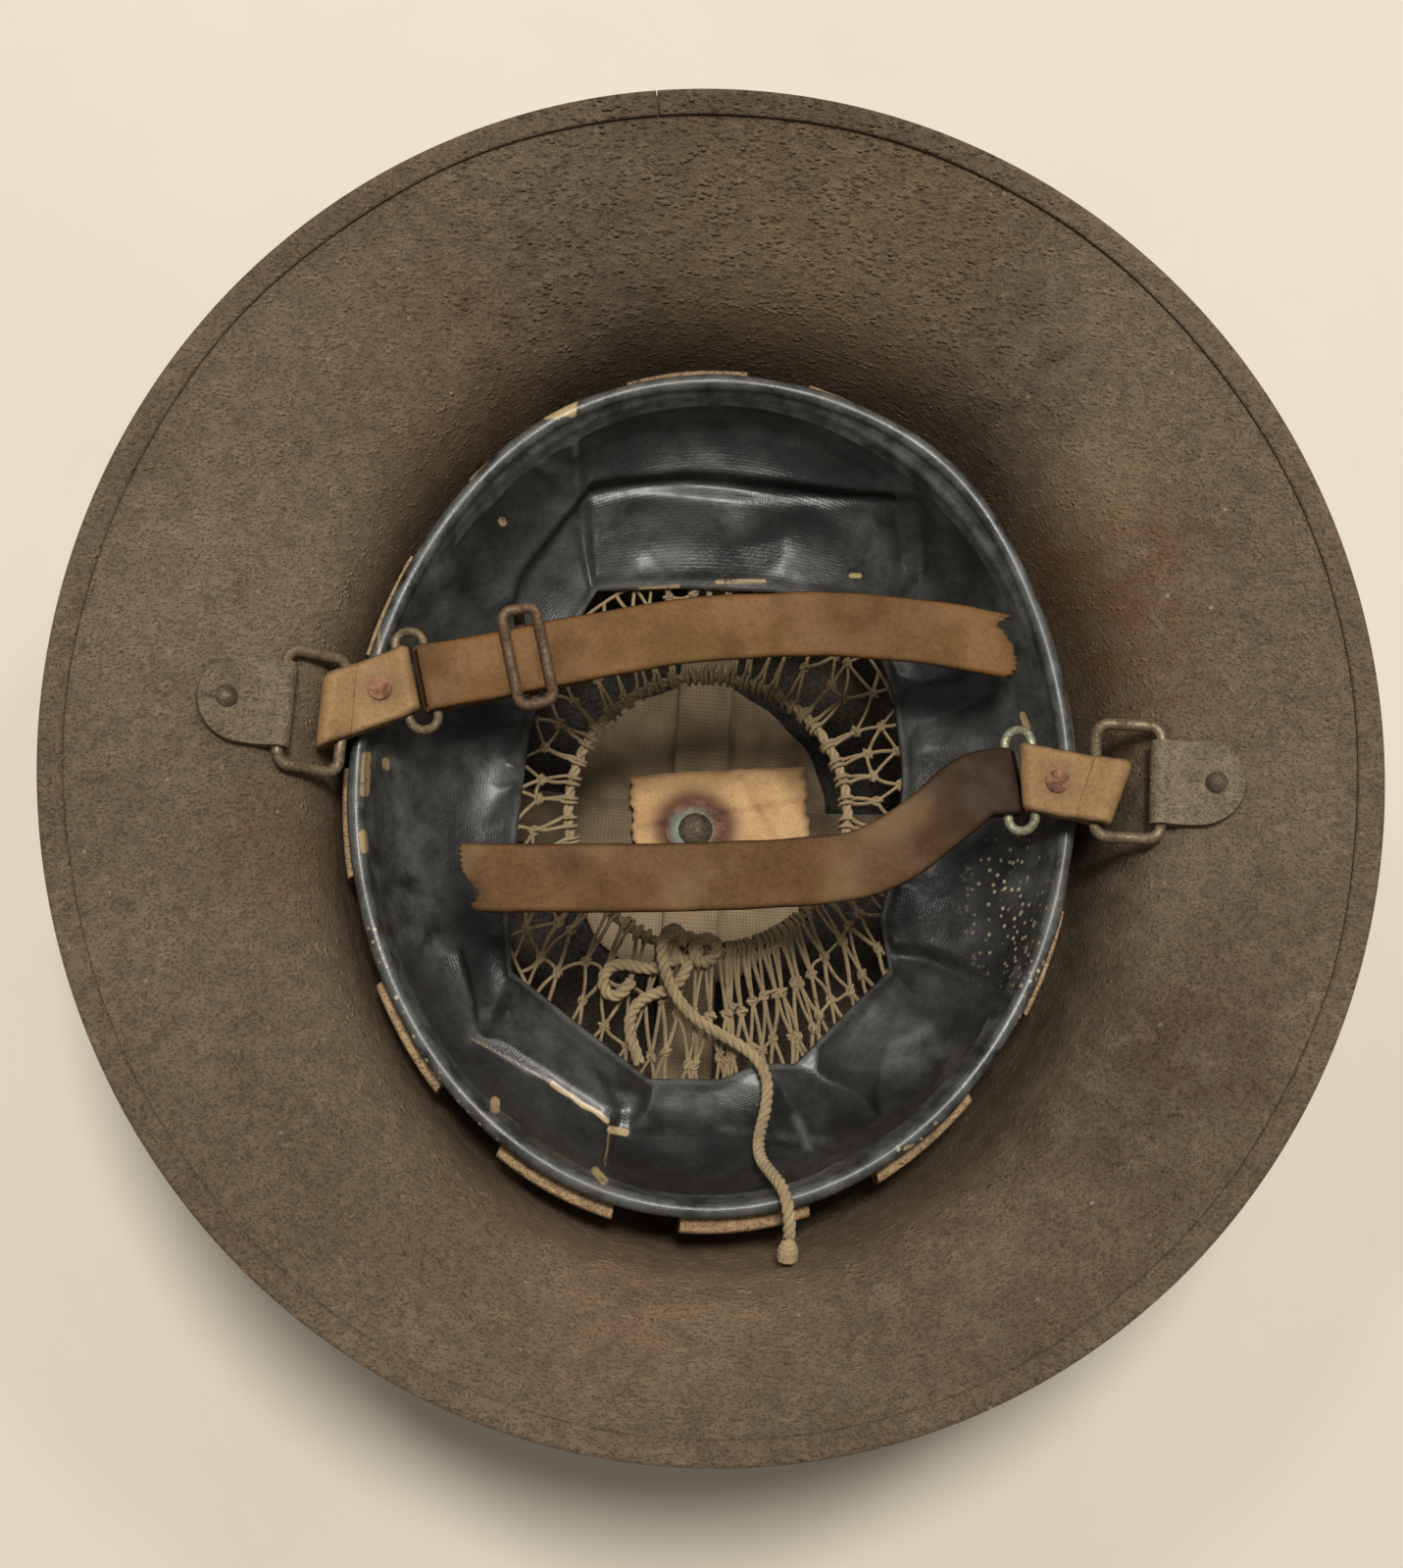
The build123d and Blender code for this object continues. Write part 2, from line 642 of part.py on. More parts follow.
def make_oilcloth():
    """A skirt from the opening up to a rolled edge over the band."""
    outer, inner = skirt_rows(), inset_rows(skirt_rows(), oilcloth_thickness)
    across, along = outer[-1][0], outer[-1][1]
    outer_roll, inner_roll = [outer[-1]], [inner[-1]]
    for roll, shares in ((outer_roll, outer_roll_shares), (inner_roll, inner_roll_shares)):
        for out, up in shares:
            roll.append((across + out * roll_radius, along + out * roll_radius,
                         roll_height + up * roll_radius, liner_middle[0], liner_middle[1]))
    body = lofted(outer) + lofted(outer_roll, True) - lofted(inner) - lofted(inner_roll, True)
    return body - oval(opening_half_width, opening_half_length, 0,
                       opening_height + oilcloth_thickness * 2, net_middle)


def net_point(angle, share):
    """A point of the net, from the ring to its outer edge, by angle and share."""
    inner = ring_radius + ring_cord + net_gap + net_strand
    near = (ring_middle[0] + inner * math.cos(angle), ring_middle[1] + inner * math.sin(angle))
    far = (net_middle[0] + (opening_half_width + net_margin) * math.cos(angle),
           net_middle[1] + (opening_half_length + net_margin) * math.sin(angle))
    return near[0] + share * (far[0] - near[0]), near[1] + share * (far[1] - near[1])


def make_net():
    """A flat holed sheet: two rows of uneven meshes round the drawstring ring."""
    pitch = 2 * math.pi / net_meshes
    outer = Wire.make_ellipse(opening_half_width + net_margin, opening_half_length + net_margin,
                              Plane(origin=(net_middle[0], net_middle[1], net_top - net_thickness)))
    bore = Wire.make_circle(ring_radius + ring_cord + net_gap,
                            Plane(origin=(ring_middle[0], ring_middle[1], net_top - net_thickness)))
    holes = [bore]
    for row, (low, high) in enumerate(net_rows_shares):
        for i in range(net_meshes):
            uneven = net_unevenness_share * pitch
            start = (i + row / 2) * pitch + uneven * math.sin(i * i)
            end = (i + 1 + row / 2) * pitch + uneven * math.sin((i + 1) ** 2 if i + 1 < net_meshes else 0)
            corners = []
            for angle, share in ((start, low), (end, low), (end, high), (start, high)):
                x, y = net_point(angle, share)
                away = net_strand / 2 / math.hypot(x - ring_middle[0], y - ring_middle[1])
                corners.append(net_point(angle + (away if angle == start else -away), share))
            level = [(x, y, net_top - net_thickness) for x, y in corners]
            holes.append(Wire.make_polygon(level, close=True))
    return extrude(Face(outer, holes), amount=net_thickness, dir=(0, 0, 1))


def make_drawstring_ring():
    """The gathered round of cord that the net's inner loops hold."""
    return Pos(ring_middle[0], ring_middle[1], net_top - net_thickness / 2) * Torus(ring_radius, ring_cord)


def make_drawstring_knot():
    """A knot on the ring: two turns side by side, one of them leaning."""
    body = Pos(-knot_spread / 2, 0, 0) * Torus(knot_major, knot_minor)
    body += Pos(knot_spread / 2, -knot_minor / 4, 0) * Rot(0, knot_lean, 0) * Torus(knot_major, knot_minor)
    return Pos(ring_middle[0] + knot_side, ring_middle[1] - knot_drop, net_top + knot_lift) * body


def make_end_knot():
    """The whipped knot at the tail's end."""
    end, before = Vector(*tail_route[-1]), Vector(*tail_route[-2])
    body = fillet(Cylinder(end_knot_radius, end_knot_length).edges(), end_knot_radius / 2)
    along = (end - before).normalized()
    return Plane(origin=end + along * (end_knot_length / 2), z_dir=along) * body


def say_cord(name, route, radius):
    """Print a cord's tightest arc, its length and how its volume compares with section times length."""
    path, body = smooth_path(route), cord(route, radius)
    expected = math.pi * radius ** 2 * path.length
    print(name, "radii", [round(r, 1) for r in corner_radii(route)], "length", round(path.length, 1),
          "volume share", round(body.volume / expected, 4))
    return body


solid_ring = ring_wall(0.0, tube_low, tube_low + tube_height)
bore_ring = ring_wall(tube_wall, tube_low + tube_wall, tube_low + tube_height - tube_wall)

parts = {
    "shell": make_shell(),
    "rim_edging": make_rim_edging(),
    "crown_rivet": make_crown_rivet(),
    "crown_washer": make_crown_washer(),
    "crown_pad": make_crown_pad(),
    "side_crown_strap": crown_strap(liner_half_width - liner_band_thickness / 2, 1, 0),
    "long_crown_strap": crown_strap(liner_half_length - liner_band_thickness / 2, 2, 90),
    "paper_label": make_label(),
    "liner_band": make_liner_band(),
    "oilcloth": make_oilcloth(),
    "net": make_net(),
    "drawstring_ring": make_drawstring_ring(),
    "drawstring_knot": make_drawstring_knot(),
    "drawstring_tail": say_cord("drawstring_tail", tail_route, cord_radius),
    "drawstring_curl": say_cord("drawstring_curl", curl_route, cord_radius),
    "drawstring_short_end": say_cord("drawstring_short_end", short_route, cord_radius),
    "drawstring_end_knot": make_end_knot(),
    "left_strap": make_left_strap(),
    "right_strap": make_right_strap(),
    "strap_slide": make_slide(),
    "tube_studs": Compound([make_stud(i) for i in range(tube_count)]),
}
for i in range(tube_count):
    parts[f"rubber_tube_{i + 1:02d}"] = make_rubber_tube(i, solid_ring, bore_ring)
for name, chain in (("left", left), ("right", right)):
    parts[f"{name}_lug"] = make_lug(chain)
    parts[f"{name}_lug_rivet"] = make_lug_rivet(chain)
    parts[f"{name}_bail"] = make_bail(chain)
    parts[f"{name}_loop"] = make_loop(chain)
    parts[f"{name}_loop_rivet"] = make_loop_rivet(chain)
    parts[f"{name}_ring"] = make_ring(chain)

os.makedirs("parts", exist_ok=True)
for name, body in parts.items():
    export_step(body, f"parts/{name}.step")
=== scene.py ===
"""Looks of the upturned steel helmet: paint, oilcloth, net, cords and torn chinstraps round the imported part.

Shapes are worked out in millimetres in the part's own frame and put into meshes in metres. A grid of
points is a surface, and a line of points with a radius is a strand.
"""

import math

import bmesh
import bpy
import numpy as np
from mathutils import Matrix, Vector
from mathutils.geometry import delaunay_2d_cdt


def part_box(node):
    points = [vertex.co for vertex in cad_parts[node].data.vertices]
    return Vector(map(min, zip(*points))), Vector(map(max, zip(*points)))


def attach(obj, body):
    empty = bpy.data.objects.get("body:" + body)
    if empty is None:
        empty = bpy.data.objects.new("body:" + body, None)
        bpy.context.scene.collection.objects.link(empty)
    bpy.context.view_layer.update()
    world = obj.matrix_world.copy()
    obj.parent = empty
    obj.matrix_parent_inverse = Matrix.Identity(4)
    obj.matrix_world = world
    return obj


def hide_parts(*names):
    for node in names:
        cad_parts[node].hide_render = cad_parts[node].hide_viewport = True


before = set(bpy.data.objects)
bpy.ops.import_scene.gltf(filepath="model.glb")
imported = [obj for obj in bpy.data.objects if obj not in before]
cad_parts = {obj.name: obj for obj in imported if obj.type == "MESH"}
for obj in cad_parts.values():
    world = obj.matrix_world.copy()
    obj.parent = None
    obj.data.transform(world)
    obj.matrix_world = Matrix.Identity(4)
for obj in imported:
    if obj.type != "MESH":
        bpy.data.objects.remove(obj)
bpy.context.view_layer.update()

METRE = 0.001
TURN = 2 * math.pi


def vec(*values):
    """An array of floats."""
    return np.array(values, dtype=float)


# Camera: place in mm, then its turn about Y, X and Z, in degrees, and its reach in photo pixels
PHOTO = (1431, 1599)
CAMERA_AT = vec(-28.0, -100.0, 542.0)
CAMERA_TURNS = (-3.11, 11.51, 3.8)
CAMERA_REACH = 2048.6
SENSOR = 36.0


def camera_axes():
    """Columns right, up and back of the camera: a turn about Y, then X, then Z."""
    yaw, pitch, roll = (math.radians(a) for a in CAMERA_TURNS)
    m = Matrix.Rotation(yaw, 3, "Y") @ Matrix.Rotation(pitch, 3, "X") @ Matrix.Rotation(roll, 3, "Z")
    return m


def make_camera():
    """The camera at the photograph's place, its film height fitted to the photograph's frame."""
    data = bpy.data.cameras.new("camera")
    data.sensor_fit = "VERTICAL"
    data.sensor_height = SENSOR
    data.lens = CAMERA_REACH / PHOTO[1] * SENSOR
    data.clip_start = 0.01
    camera = bpy.data.objects.new("camera", data)
    camera.matrix_world = Matrix.Translation(CAMERA_AT * METRE) @ camera_axes().to_4x4()
    bpy.context.collection.objects.link(camera)
    bpy.context.scene.camera = camera


def in_photo(points):
    """Where points in mm fall in the photograph, in its pixels: reach times the offset over the depth."""
    away = (points - CAMERA_AT) @ np.array(camera_axes())
    scale = CAMERA_REACH / -away[..., 2]
    return np.stack([PHOTO[0] / 2 + away[..., 0] * scale, PHOTO[1] / 2 - away[..., 1] * scale], -1)


# Shapes: grids, strands and strips

def ripple(points, size, seed, waves=9):
    """Smooth unevenness of about that size in mm: a sum of plane waves in seeded directions, near -1 to 1."""
    rng = np.random.default_rng(seed)
    total = 0.0
    for _ in range(waves):
        way = rng.normal(size=points.shape[-1])
        way *= TURN / size * rng.uniform(0.5, 1.5) / np.linalg.norm(way)
        total = total + np.sin(points @ way + rng.uniform(0, TURN))
    return total / math.sqrt(waves) * 0.8


def ease(x):
    """0 below 0, 1 above 1, and 3x^2 - 2x^3 between them."""
    x = np.clip(x, 0.0, 1.0)
    return x * x * (3 - 2 * x)


def build(name, points, faces, uv=None, smooth=True):
    """An object from points in mm and a list or array of faces, with one UV pair for each point."""
    mesh = bpy.data.meshes.new(name)
    mesh.from_pydata((points * METRE).tolist(), [], faces.tolist() if hasattr(faces, "tolist") else faces)
    if uv is not None:
        layer = mesh.uv_layers.new(name="UVMap")
        corners = np.empty(len(mesh.loops), dtype=np.int32)
        mesh.loops.foreach_get("vertex_index", corners)
        layer.data.foreach_set("uv", uv[corners].ravel())
    mesh.shade_smooth() if smooth else mesh.shade_flat()
    obj = bpy.data.objects.new(name, mesh)
    bpy.context.collection.objects.link(obj)
    return obj


def outward(obj):
    """Turns a closed mesh's faces outwards."""
    work = bmesh.new()
    work.from_mesh(obj.data)
    bmesh.ops.recalc_face_normals(work, faces=work.faces)
    work.to_mesh(obj.data)
    work.free()
    return obj


def grid_faces(rows, columns, close_rows=False, close_columns=False):
    """Quads between neighbours of a rows by columns grid, joined round where closed."""
    r, c = np.arange(rows if close_rows else rows - 1), np.arange(columns if close_columns else columns - 1)
    r, c = np.meshgrid(r, c, indexing="ij")
    r2, c2 = (r + 1) % rows, (c + 1) % columns
    return np.stack([r * columns + c, r * columns + c2, r2 * columns + c2, r2 * columns + c], -1).reshape(-1, 4)


def end_faces(start, size, shift):
    """Quads across a closed section, from each pair of opposite points, k and shift - k, to the next pair."""
    pairs = [(k, (shift - k) % size) for k in range(size // 2 + 1)]
    faces = [list(dict.fromkeys([a, c, d, b])) for (a, b), (c, d) in zip(pairs, pairs[1:])]
    return [[start + k for k in face] for face in faces if len(face) > 2]


def grid_surface(name, points, close_rows=False, close_columns=False, caps=None, uv=None):
    """A surface from a rows by columns grid of points; caps, a shift, close the first and last row's section."""
    rows, columns = points.shape[:2]
    faces = grid_faces(rows, columns, close_rows, close_columns).tolist()
    if caps is not None:
        faces += end_faces(0, columns, caps) + end_faces((rows - 1) * columns, columns, caps)
    return build(name, points.reshape(-1, 3), faces, None if uv is None else uv.reshape(-1, 2))


def through(points, steps):
    """A smooth line through points by Catmull-Rom: each run is the cubic with its neighbours' slopes."""
    p = np.asarray(points, dtype=float)
    p = np.concatenate([[2 * p[0] - p[1]], p, [2 * p[-1] - p[-2]]])
    t = np.linspace(0, 1, steps, endpoint=False)[:, None]
    a, b, c, d = (p[None, i:len(p) - 3 + i] for i in range(4))
    t = t[:, :, None]
    line = 0.5 * (2 * b + (c - a) * t + (2 * a - 5 * b + 4 * c - d) * t ** 2 + (3 * b - a - 3 * c + d) * t ** 3)
    return np.concatenate([line.transpose(1, 0, 2).reshape(-1, p.shape[-1]), p[-2][None]])


def run_along(line):
    """The length from a line's start to each of its points."""
    return np.concatenate([[0], np.cumsum(np.linalg.norm(np.diff(line, axis=0), axis=1))])


def raised(flat, height):
    """Points in plan put at a height: one for all, one for each, or what spreads over them."""
    return np.concatenate([flat, np.broadcast_to(height, flat.shape[:-1])[..., None]], -1)


def texture_spots(along, across):
    """A texture's place for each point of a grid, from what spreads along it and across it."""
    return np.stack(np.broadcast_arrays(along, across), -1)


def even(line, count):
    """The line at evenly spaced lengths along it."""
    run = run_along(line)
    at = np.linspace(0, run[-1], count)
    return np.stack([np.interp(at, run, line[:, k]) for k in range(line.shape[1])], 1)


def slopes(line, closed=False):
    """Unit directions along a line."""
    if closed:
        way = np.roll(line, -1, 0) - np.roll(line, 1, 0)
    else:
        way = np.gradient(line, axis=0)
    return way / np.linalg.norm(way, axis=-1, keepdims=True)


def square_frames(line, closed=False):
    """Two unit vectors square to the line at each point, carried along it with the least turning."""
    way = slopes(line, closed)
    first = np.cross(way[0], vec(0.31, 0.17, 0.93))
    sides = [first / np.linalg.norm(first)]
    for w in way[1:]:
        s = sides[-1] - w * (sides[-1] @ w)
        sides.append(s / np.linalg.norm(s))
    sides = np.array(sides)
    if closed:
        ups = np.cross(way[0], sides[0])
        last = sides[-1] - way[0] * (sides[-1] @ way[0])
        gap = math.atan2(last @ ups, last @ sides[0])
        turn = -gap * np.linspace(0, 1, len(line))[:, None]
        sides = sides * np.cos(turn) + np.cross(way, sides) * np.sin(turn)
    return sides, np.cross(way, sides)


def strand_grid(line, radius, sides, closed=False):
    """Rings of points round a line, the radius a number or one for each point."""
    a, b = square_frames(line, closed)
    angle = np.linspace(0, TURN, sides, endpoint=False)
    radius = np.broadcast_to(np.asarray(radius, dtype=float), (len(line),))[:, None, None]
    ring = a[:, None] * np.cos(angle)[None, :, None] + b[:, None] * np.sin(angle)[None, :, None]
    return line[:, None] + ring * radius


def strands(name, lines, sides=6):
    """One mesh of round strands: lines is a list of (points, radius, closed)."""
    all_points, faces, uvs, start = [], [], [], 0
    for line, radius, closed in lines:
        grid = strand_grid(line, radius, sides, closed)
        quads = grid_faces(len(line), sides, closed, True) + start
        faces += quads.tolist()
        if not closed:
            faces.append([start + k for k in range(sides)][::-1])
            faces.append([start + (len(line) - 1) * sides + k for k in range(sides)])
        along = run_along(line)
        around = np.arange(sides) / sides
        uvs.append(texture_spots(along[:, None] * 0.1, around[None]).reshape(-1, 2))
        all_points.append(grid.reshape(-1, 3))
        start += len(line) * sides
    return outward(build(name, np.concatenate(all_points), faces, np.concatenate(uvs)))


def laid_cord(line, radius, pitch, closed=False, count=3):
    """Strands of a laid cord: count lines wound round the line at half the radius, one turn to a pitch."""
    a, b = square_frames(line, closed)
    run = run_along(line)
    whole = run[-1] + (np.linalg.norm(line[0] - line[-1]) if closed else 0.0)
    turns = round(whole / pitch) if closed else whole / pitch
    made = []
    for k in range(count):
        angle = (run / whole * turns + k / count)[:, None] * TURN
        made.append((line + (a * np.cos(angle) + b * np.sin(angle)) * radius * 0.52, radius * 0.50, closed))
    return made


def finish_piece(obj, material, body, slot, *nodes):
    """Gives a piece its material and its body, and hides the nodes that it stands for; the slot is not used."""
    obj.data.materials.clear()
    obj.data.materials.append(material)
    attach(obj, body)
    if nodes:
        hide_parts(*nodes)
    return obj


def add_value(obj, name, values):
    """A number at each point of a mesh, which its material reads by name."""
    layer = obj.data.attributes.new(name, "FLOAT", "POINT")
    layer.data.foreach_set("value", np.asarray(values, dtype=np.float32).ravel())


# Materials

def tint(red, green, blue):
    """A linear colour from the 0 to 255 values of a screen colour."""
    c = vec(red, green, blue) / 255
    return (*np.where(c <= 0.04045, c / 12.92, ((c + 0.055) / 1.055) ** 2.4).tolist(), 1.0)


def put(tree, kind, inputs=None, **settings):
    """A node with its settings and inputs; an input is a value or another node's output."""
    node = tree.nodes.new(kind)
    for key, value in settings.items():
        setattr(node, key, value)
    for key, value in (inputs or {}).items():
        if isinstance(value, bpy.types.NodeSocket):
            tree.links.new(value, node.inputs[key])
        else:
            node.inputs[key].default_value = value
    return node


def group(name, wanted, given):
    """An empty shader node group with its named inputs and outputs, and its two end nodes."""
    tree = bpy.data.node_groups.new(name, "ShaderNodeTree")
    for key, kind, default in wanted:
        socket = tree.interface.new_socket(key, in_out="INPUT", socket_type=kind)
        if default is not None:
            socket.default_value = default
    for key, kind in given:
        tree.interface.new_socket(key, in_out="OUTPUT", socket_type=kind)
    return tree, put(tree, "NodeGroupInput").outputs, put(tree, "NodeGroupOutput")


def spread(tree, value, low, high, to_low=0.0, to_high=1.0):
    """Value between low and high, eased to the new range."""
    return put(tree, "ShaderNodeMapRange", {"Value": value, "From Min": low, "From Max": high, "To Min": to_low,
                                            "To Max": to_high}, interpolation_type="SMOOTHSTEP").outputs["Result"]


def maths(tree, kind, a, b):
    """One operation on two values."""
    return put(tree, "ShaderNodeMath", {0: a, 1: b}, operation=kind).outputs[0]


def blend(tree, amount, under, over, kind="MIX"):
    """One colour laid over another by an amount."""
    node = put(tree, "ShaderNodeMix", {0: amount}, data_type="RGBA", blend_type=kind)
    for index, value in ((6, under), (7, over)):
        if isinstance(value, bpy.types.NodeSocket):
            tree.links.new(value, node.inputs[index])
        else:
            node.inputs[index].default_value = value
    return node.outputs[2]


def make_mottle():
    """Group: uneven patches, 0 to 1, from noise between two levels."""
    tree, given, end = group("mottle", [("Vector", "NodeSocketVector", None), ("Scale", "NodeSocketFloat", 80.0),
                                        ("Low", "NodeSocketFloat", 0.4), ("High", "NodeSocketFloat", 0.65)],
                             [("Mask", "NodeSocketFloat")])
    noise = put(tree, "ShaderNodeTexNoise", {"Vector": given["Vector"], "Scale": given["Scale"], "Detail": 6.0,
                                             "Roughness": 0.62})
    mask = spread(tree, noise.outputs["Fac"], given["Low"], given["High"])
    tree.links.new(mask, end.inputs["Mask"])
    return tree


def make_grit():
    """Group: the height of sand under paint, from cells broken up by noise."""
    tree, given, end = group("grit", [("Vector", "NodeSocketVector", None), ("Scale", "NodeSocketFloat", 900.0)],
                             [("Height", "NodeSocketFloat")])
    cells = put(tree, "ShaderNodeTexVoronoi", {"Vector": given["Vector"], "Scale": given["Scale"]})
    noise = put(tree, "ShaderNodeTexNoise", {"Vector": given["Vector"], "Scale": maths(
        tree, "MULTIPLY", given["Scale"], 0.45), "Detail": 5.0, "Roughness": 0.7})
    lumps = spread(tree, cells.outputs["Distance"], 0.55, 0.1)
    height = maths(tree, "MULTIPLY", lumps, spread(tree, noise.outputs["Fac"], 0.45, 0.62))
    total = maths(tree, "ADD", height, maths(tree, "MULTIPLY", noise.outputs["Fac"], 0.6))
    tree.links.new(total, end.inputs["Height"])
    return tree


def make_patch():
    """Group: a ragged round patch: 1 at its centre, and 0 past its radius, moved about by noise."""
    tree, given, end = group("patch", [("Vector", "NodeSocketVector", None), ("Centre", "NodeSocketVector", None),
                                       ("Radius", "NodeSocketFloat", 0.02), ("Ragged", "NodeSocketFloat", 0.01)],
                             [("Mask", "NodeSocketFloat")])
    away = put(tree, "ShaderNodeVectorMath", {0: given["Vector"], 1: given["Centre"]}, operation="DISTANCE")
    noise = put(tree, "ShaderNodeTexNoise", {"Vector": given["Vector"], "Scale": 90.0, "Detail": 6.0,
                                             "Roughness": 0.65})
    moved = maths(tree, "MULTIPLY", maths(tree, "SUBTRACT", noise.outputs["Fac"], 0.5), given["Ragged"])
    edge = maths(tree, "ADD", away.outputs["Value"], maths(tree, "MULTIPLY", moved, 4.0))
    ratio = maths(tree, "DIVIDE", edge, given["Radius"])
    tree.links.new(spread(tree, ratio, 1.0, 0.35), end.inputs["Mask"])
    return tree


def make_specks():
    """Group: small scattered spots, 0 to 1, more of them where Amount is higher."""
    tree, given, end = group("specks", [("Vector", "NodeSocketVector", None), ("Scale", "NodeSocketFloat", 900.0),
                                        ("Amount", "NodeSocketFloat", 0.3)], [("Mask", "NodeSocketFloat")])
    cells = put(tree, "ShaderNodeTexVoronoi", {"Vector": given["Vector"], "Scale": given["Scale"],
                                               "Randomness": 1.0})
    chance = put(tree, "ShaderNodeSeparateColor", {"Color": cells.outputs["Color"]}).outputs[0]
    chosen = maths(tree, "LESS_THAN", chance, given["Amount"])
    spot = spread(tree, cells.outputs["Distance"], 0.42, 0.2)
    tree.links.new(maths(tree, "MULTIPLY", spot, chosen), end.inputs["Mask"])
    return tree


def make_cloth_grain():
    """Group: the height of crossing threads along a piece's own two directions."""
    tree, given, end = group("cloth_grain", [("Vector", "NodeSocketVector", None),
                                             ("Threads", "NodeSocketFloat", 8.0)], [("Height", "NodeSocketFloat")])
    flat = put(tree, "ShaderNodeVectorMath", {0: given["Vector"], "Scale": given["Threads"]}, operation="SCALE")
    parts = put(tree, "ShaderNodeSeparateXYZ", {0: flat.outputs[0]})
    across, along = (maths(tree, "ABSOLUTE", maths(tree, "SINE", maths(
        tree, "MULTIPLY", parts.outputs[k], math.pi), 0.0), 0.0) for k in (0, 1))
    tree.links.new(maths(tree, "MULTIPLY", across, along), end.inputs["Height"])
    return tree


GROUPS = {"mottle": make_mottle(), "grit": make_grit(), "patch": make_patch(), "specks": make_specks(),
          "cloth_grain": make_cloth_grain()}


class Finish:
    """A material's tree, with short calls for what the finishes share."""

    def __init__(self, name, roughness=0.7, **sockets):
        self.material = bpy.data.materials.new(name)
        self.material.use_nodes = True
        self.tree = self.material.node_tree
        self.shader = self.tree.nodes["Principled BSDF"]
        self.shader.inputs["Roughness"].default_value = roughness
        for key, value in sockets.items():
            self.shader.inputs[key.replace("_", " ")].default_value = value
        self.place = put(self.tree, "ShaderNodeTexCoord").outputs["Object"]
        self.uv = put(self.tree, "ShaderNodeUVMap", uv_map="UVMap").outputs["UV"]

    def use(self, effect, **inputs):
        """Puts a shared effect into the material and gives its output."""
        node = put(self.tree, "ShaderNodeGroup", node_tree=GROUPS[effect])
        inputs.setdefault("Vector", self.place)
        for key, value in inputs.items():
            if isinstance(value, bpy.types.NodeSocket):
                self.tree.links.new(value, node.inputs[key])
            else:
                node.inputs[key].default_value = value
        return node.outputs[0]

    def attribute(self, name):
        """The number that a mesh carries under a name."""
        return put(self.tree, "ShaderNodeAttribute", attribute_name=name).outputs["Fac"]

    def colour(self, value):
        """Joins a colour to the shader."""
        self.tree.links.new(value, self.shader.inputs["Base Color"])

    def rough(self, value):
        """Joins a roughness that changes over the surface."""
        self.tree.links.new(value, self.shader.inputs["Roughness"])

    def metal(self, value):
        """Joins a metal mask that changes over the surface."""
        self.tree.links.new(value, self.shader.inputs["Metallic"])

    def bump(self, height, depth, strength=1.0):
        """Joins a height in millimetres of depth."""
        scaled = maths(self.tree, "MULTIPLY", height, depth)
        node = put(self.tree, "ShaderNodeBump", {"Height": scaled, "Strength": strength, "Distance": METRE})
        self.tree.links.new(node.outputs["Normal"], self.shader.inputs["Normal"])

    def mix(self, amount, under, over, kind="MIX"):
        """One colour over another by an amount."""
        return blend(self.tree, amount, under, over, kind)

    def maths(self, kind, a, b):
        """A sum of two values."""
        return maths(self.tree, kind, a, b)


# Patches of the painted steel: centre in mm, radius and raggedness in mm, strength, and colour
RUST = tint(122, 84, 48)
DARK = tint(52, 42, 30)
PALE = tint(150, 128, 96)
# Besides rust and stains: the DARK patches on the inner wall towards +Y are painted shade, and the pale patches on
# the inner wall at -Y and on the brim's turn at +Y and at -X are painted light.
STEEL_PATCHES = [
    ((92.0, 52.0, 84.0), 34.0, 9.0, 0.75, RUST), ((96.0, 20.0, 86.0), 26.0, 8.0, 0.55, RUST),
    ((88.0, 74.0, 88.0), 20.0, 7.0, 0.55, PALE), ((0.0, 112.0, 78.0), 42.0, 12.0, 0.35, DARK),
    ((52.0, 104.0, 82.0), 44.0, 12.0, 0.6, DARK), ((-40.0, 104.0, 80.0), 40.0, 12.0, 0.45, DARK),
    ((88.0, -10.0, 76.0), 34.0, 12.0, 0.55, DARK), ((84.0, -66.0, 84.0), 44.0, 12.0, 0.5, DARK),
    ((112.0, -58.0, 96.0), 24.0, 8.0, 0.4, tint(92, 56, 40)),
    ((70.0, -110.0, 96.0), 60.0, 16.0, 0.35, tint(92, 62, 46)),
    ((-30.0, -118.0, 92.0), 42.0, 10.0, 0.35, tint(128, 96, 66)), ((-98.0, -30.0, 88.0), 24.0, 8.0, 0.4, RUST),
    ((-70.0, 90.0, 88.0), 40.0, 12.0, 0.3, RUST), ((20.0, 128.0, 98.0), 60.0, 14.0, 0.6, tint(150, 122, 84)),
    ((0.0, -112.0, 84.0), 46.0, 12.0, 0.6, tint(160, 132, 102)),
    ((-112.0, 30.0, 96.0), 44.0, 12.0, 0.45, tint(160, 140, 112)),
]


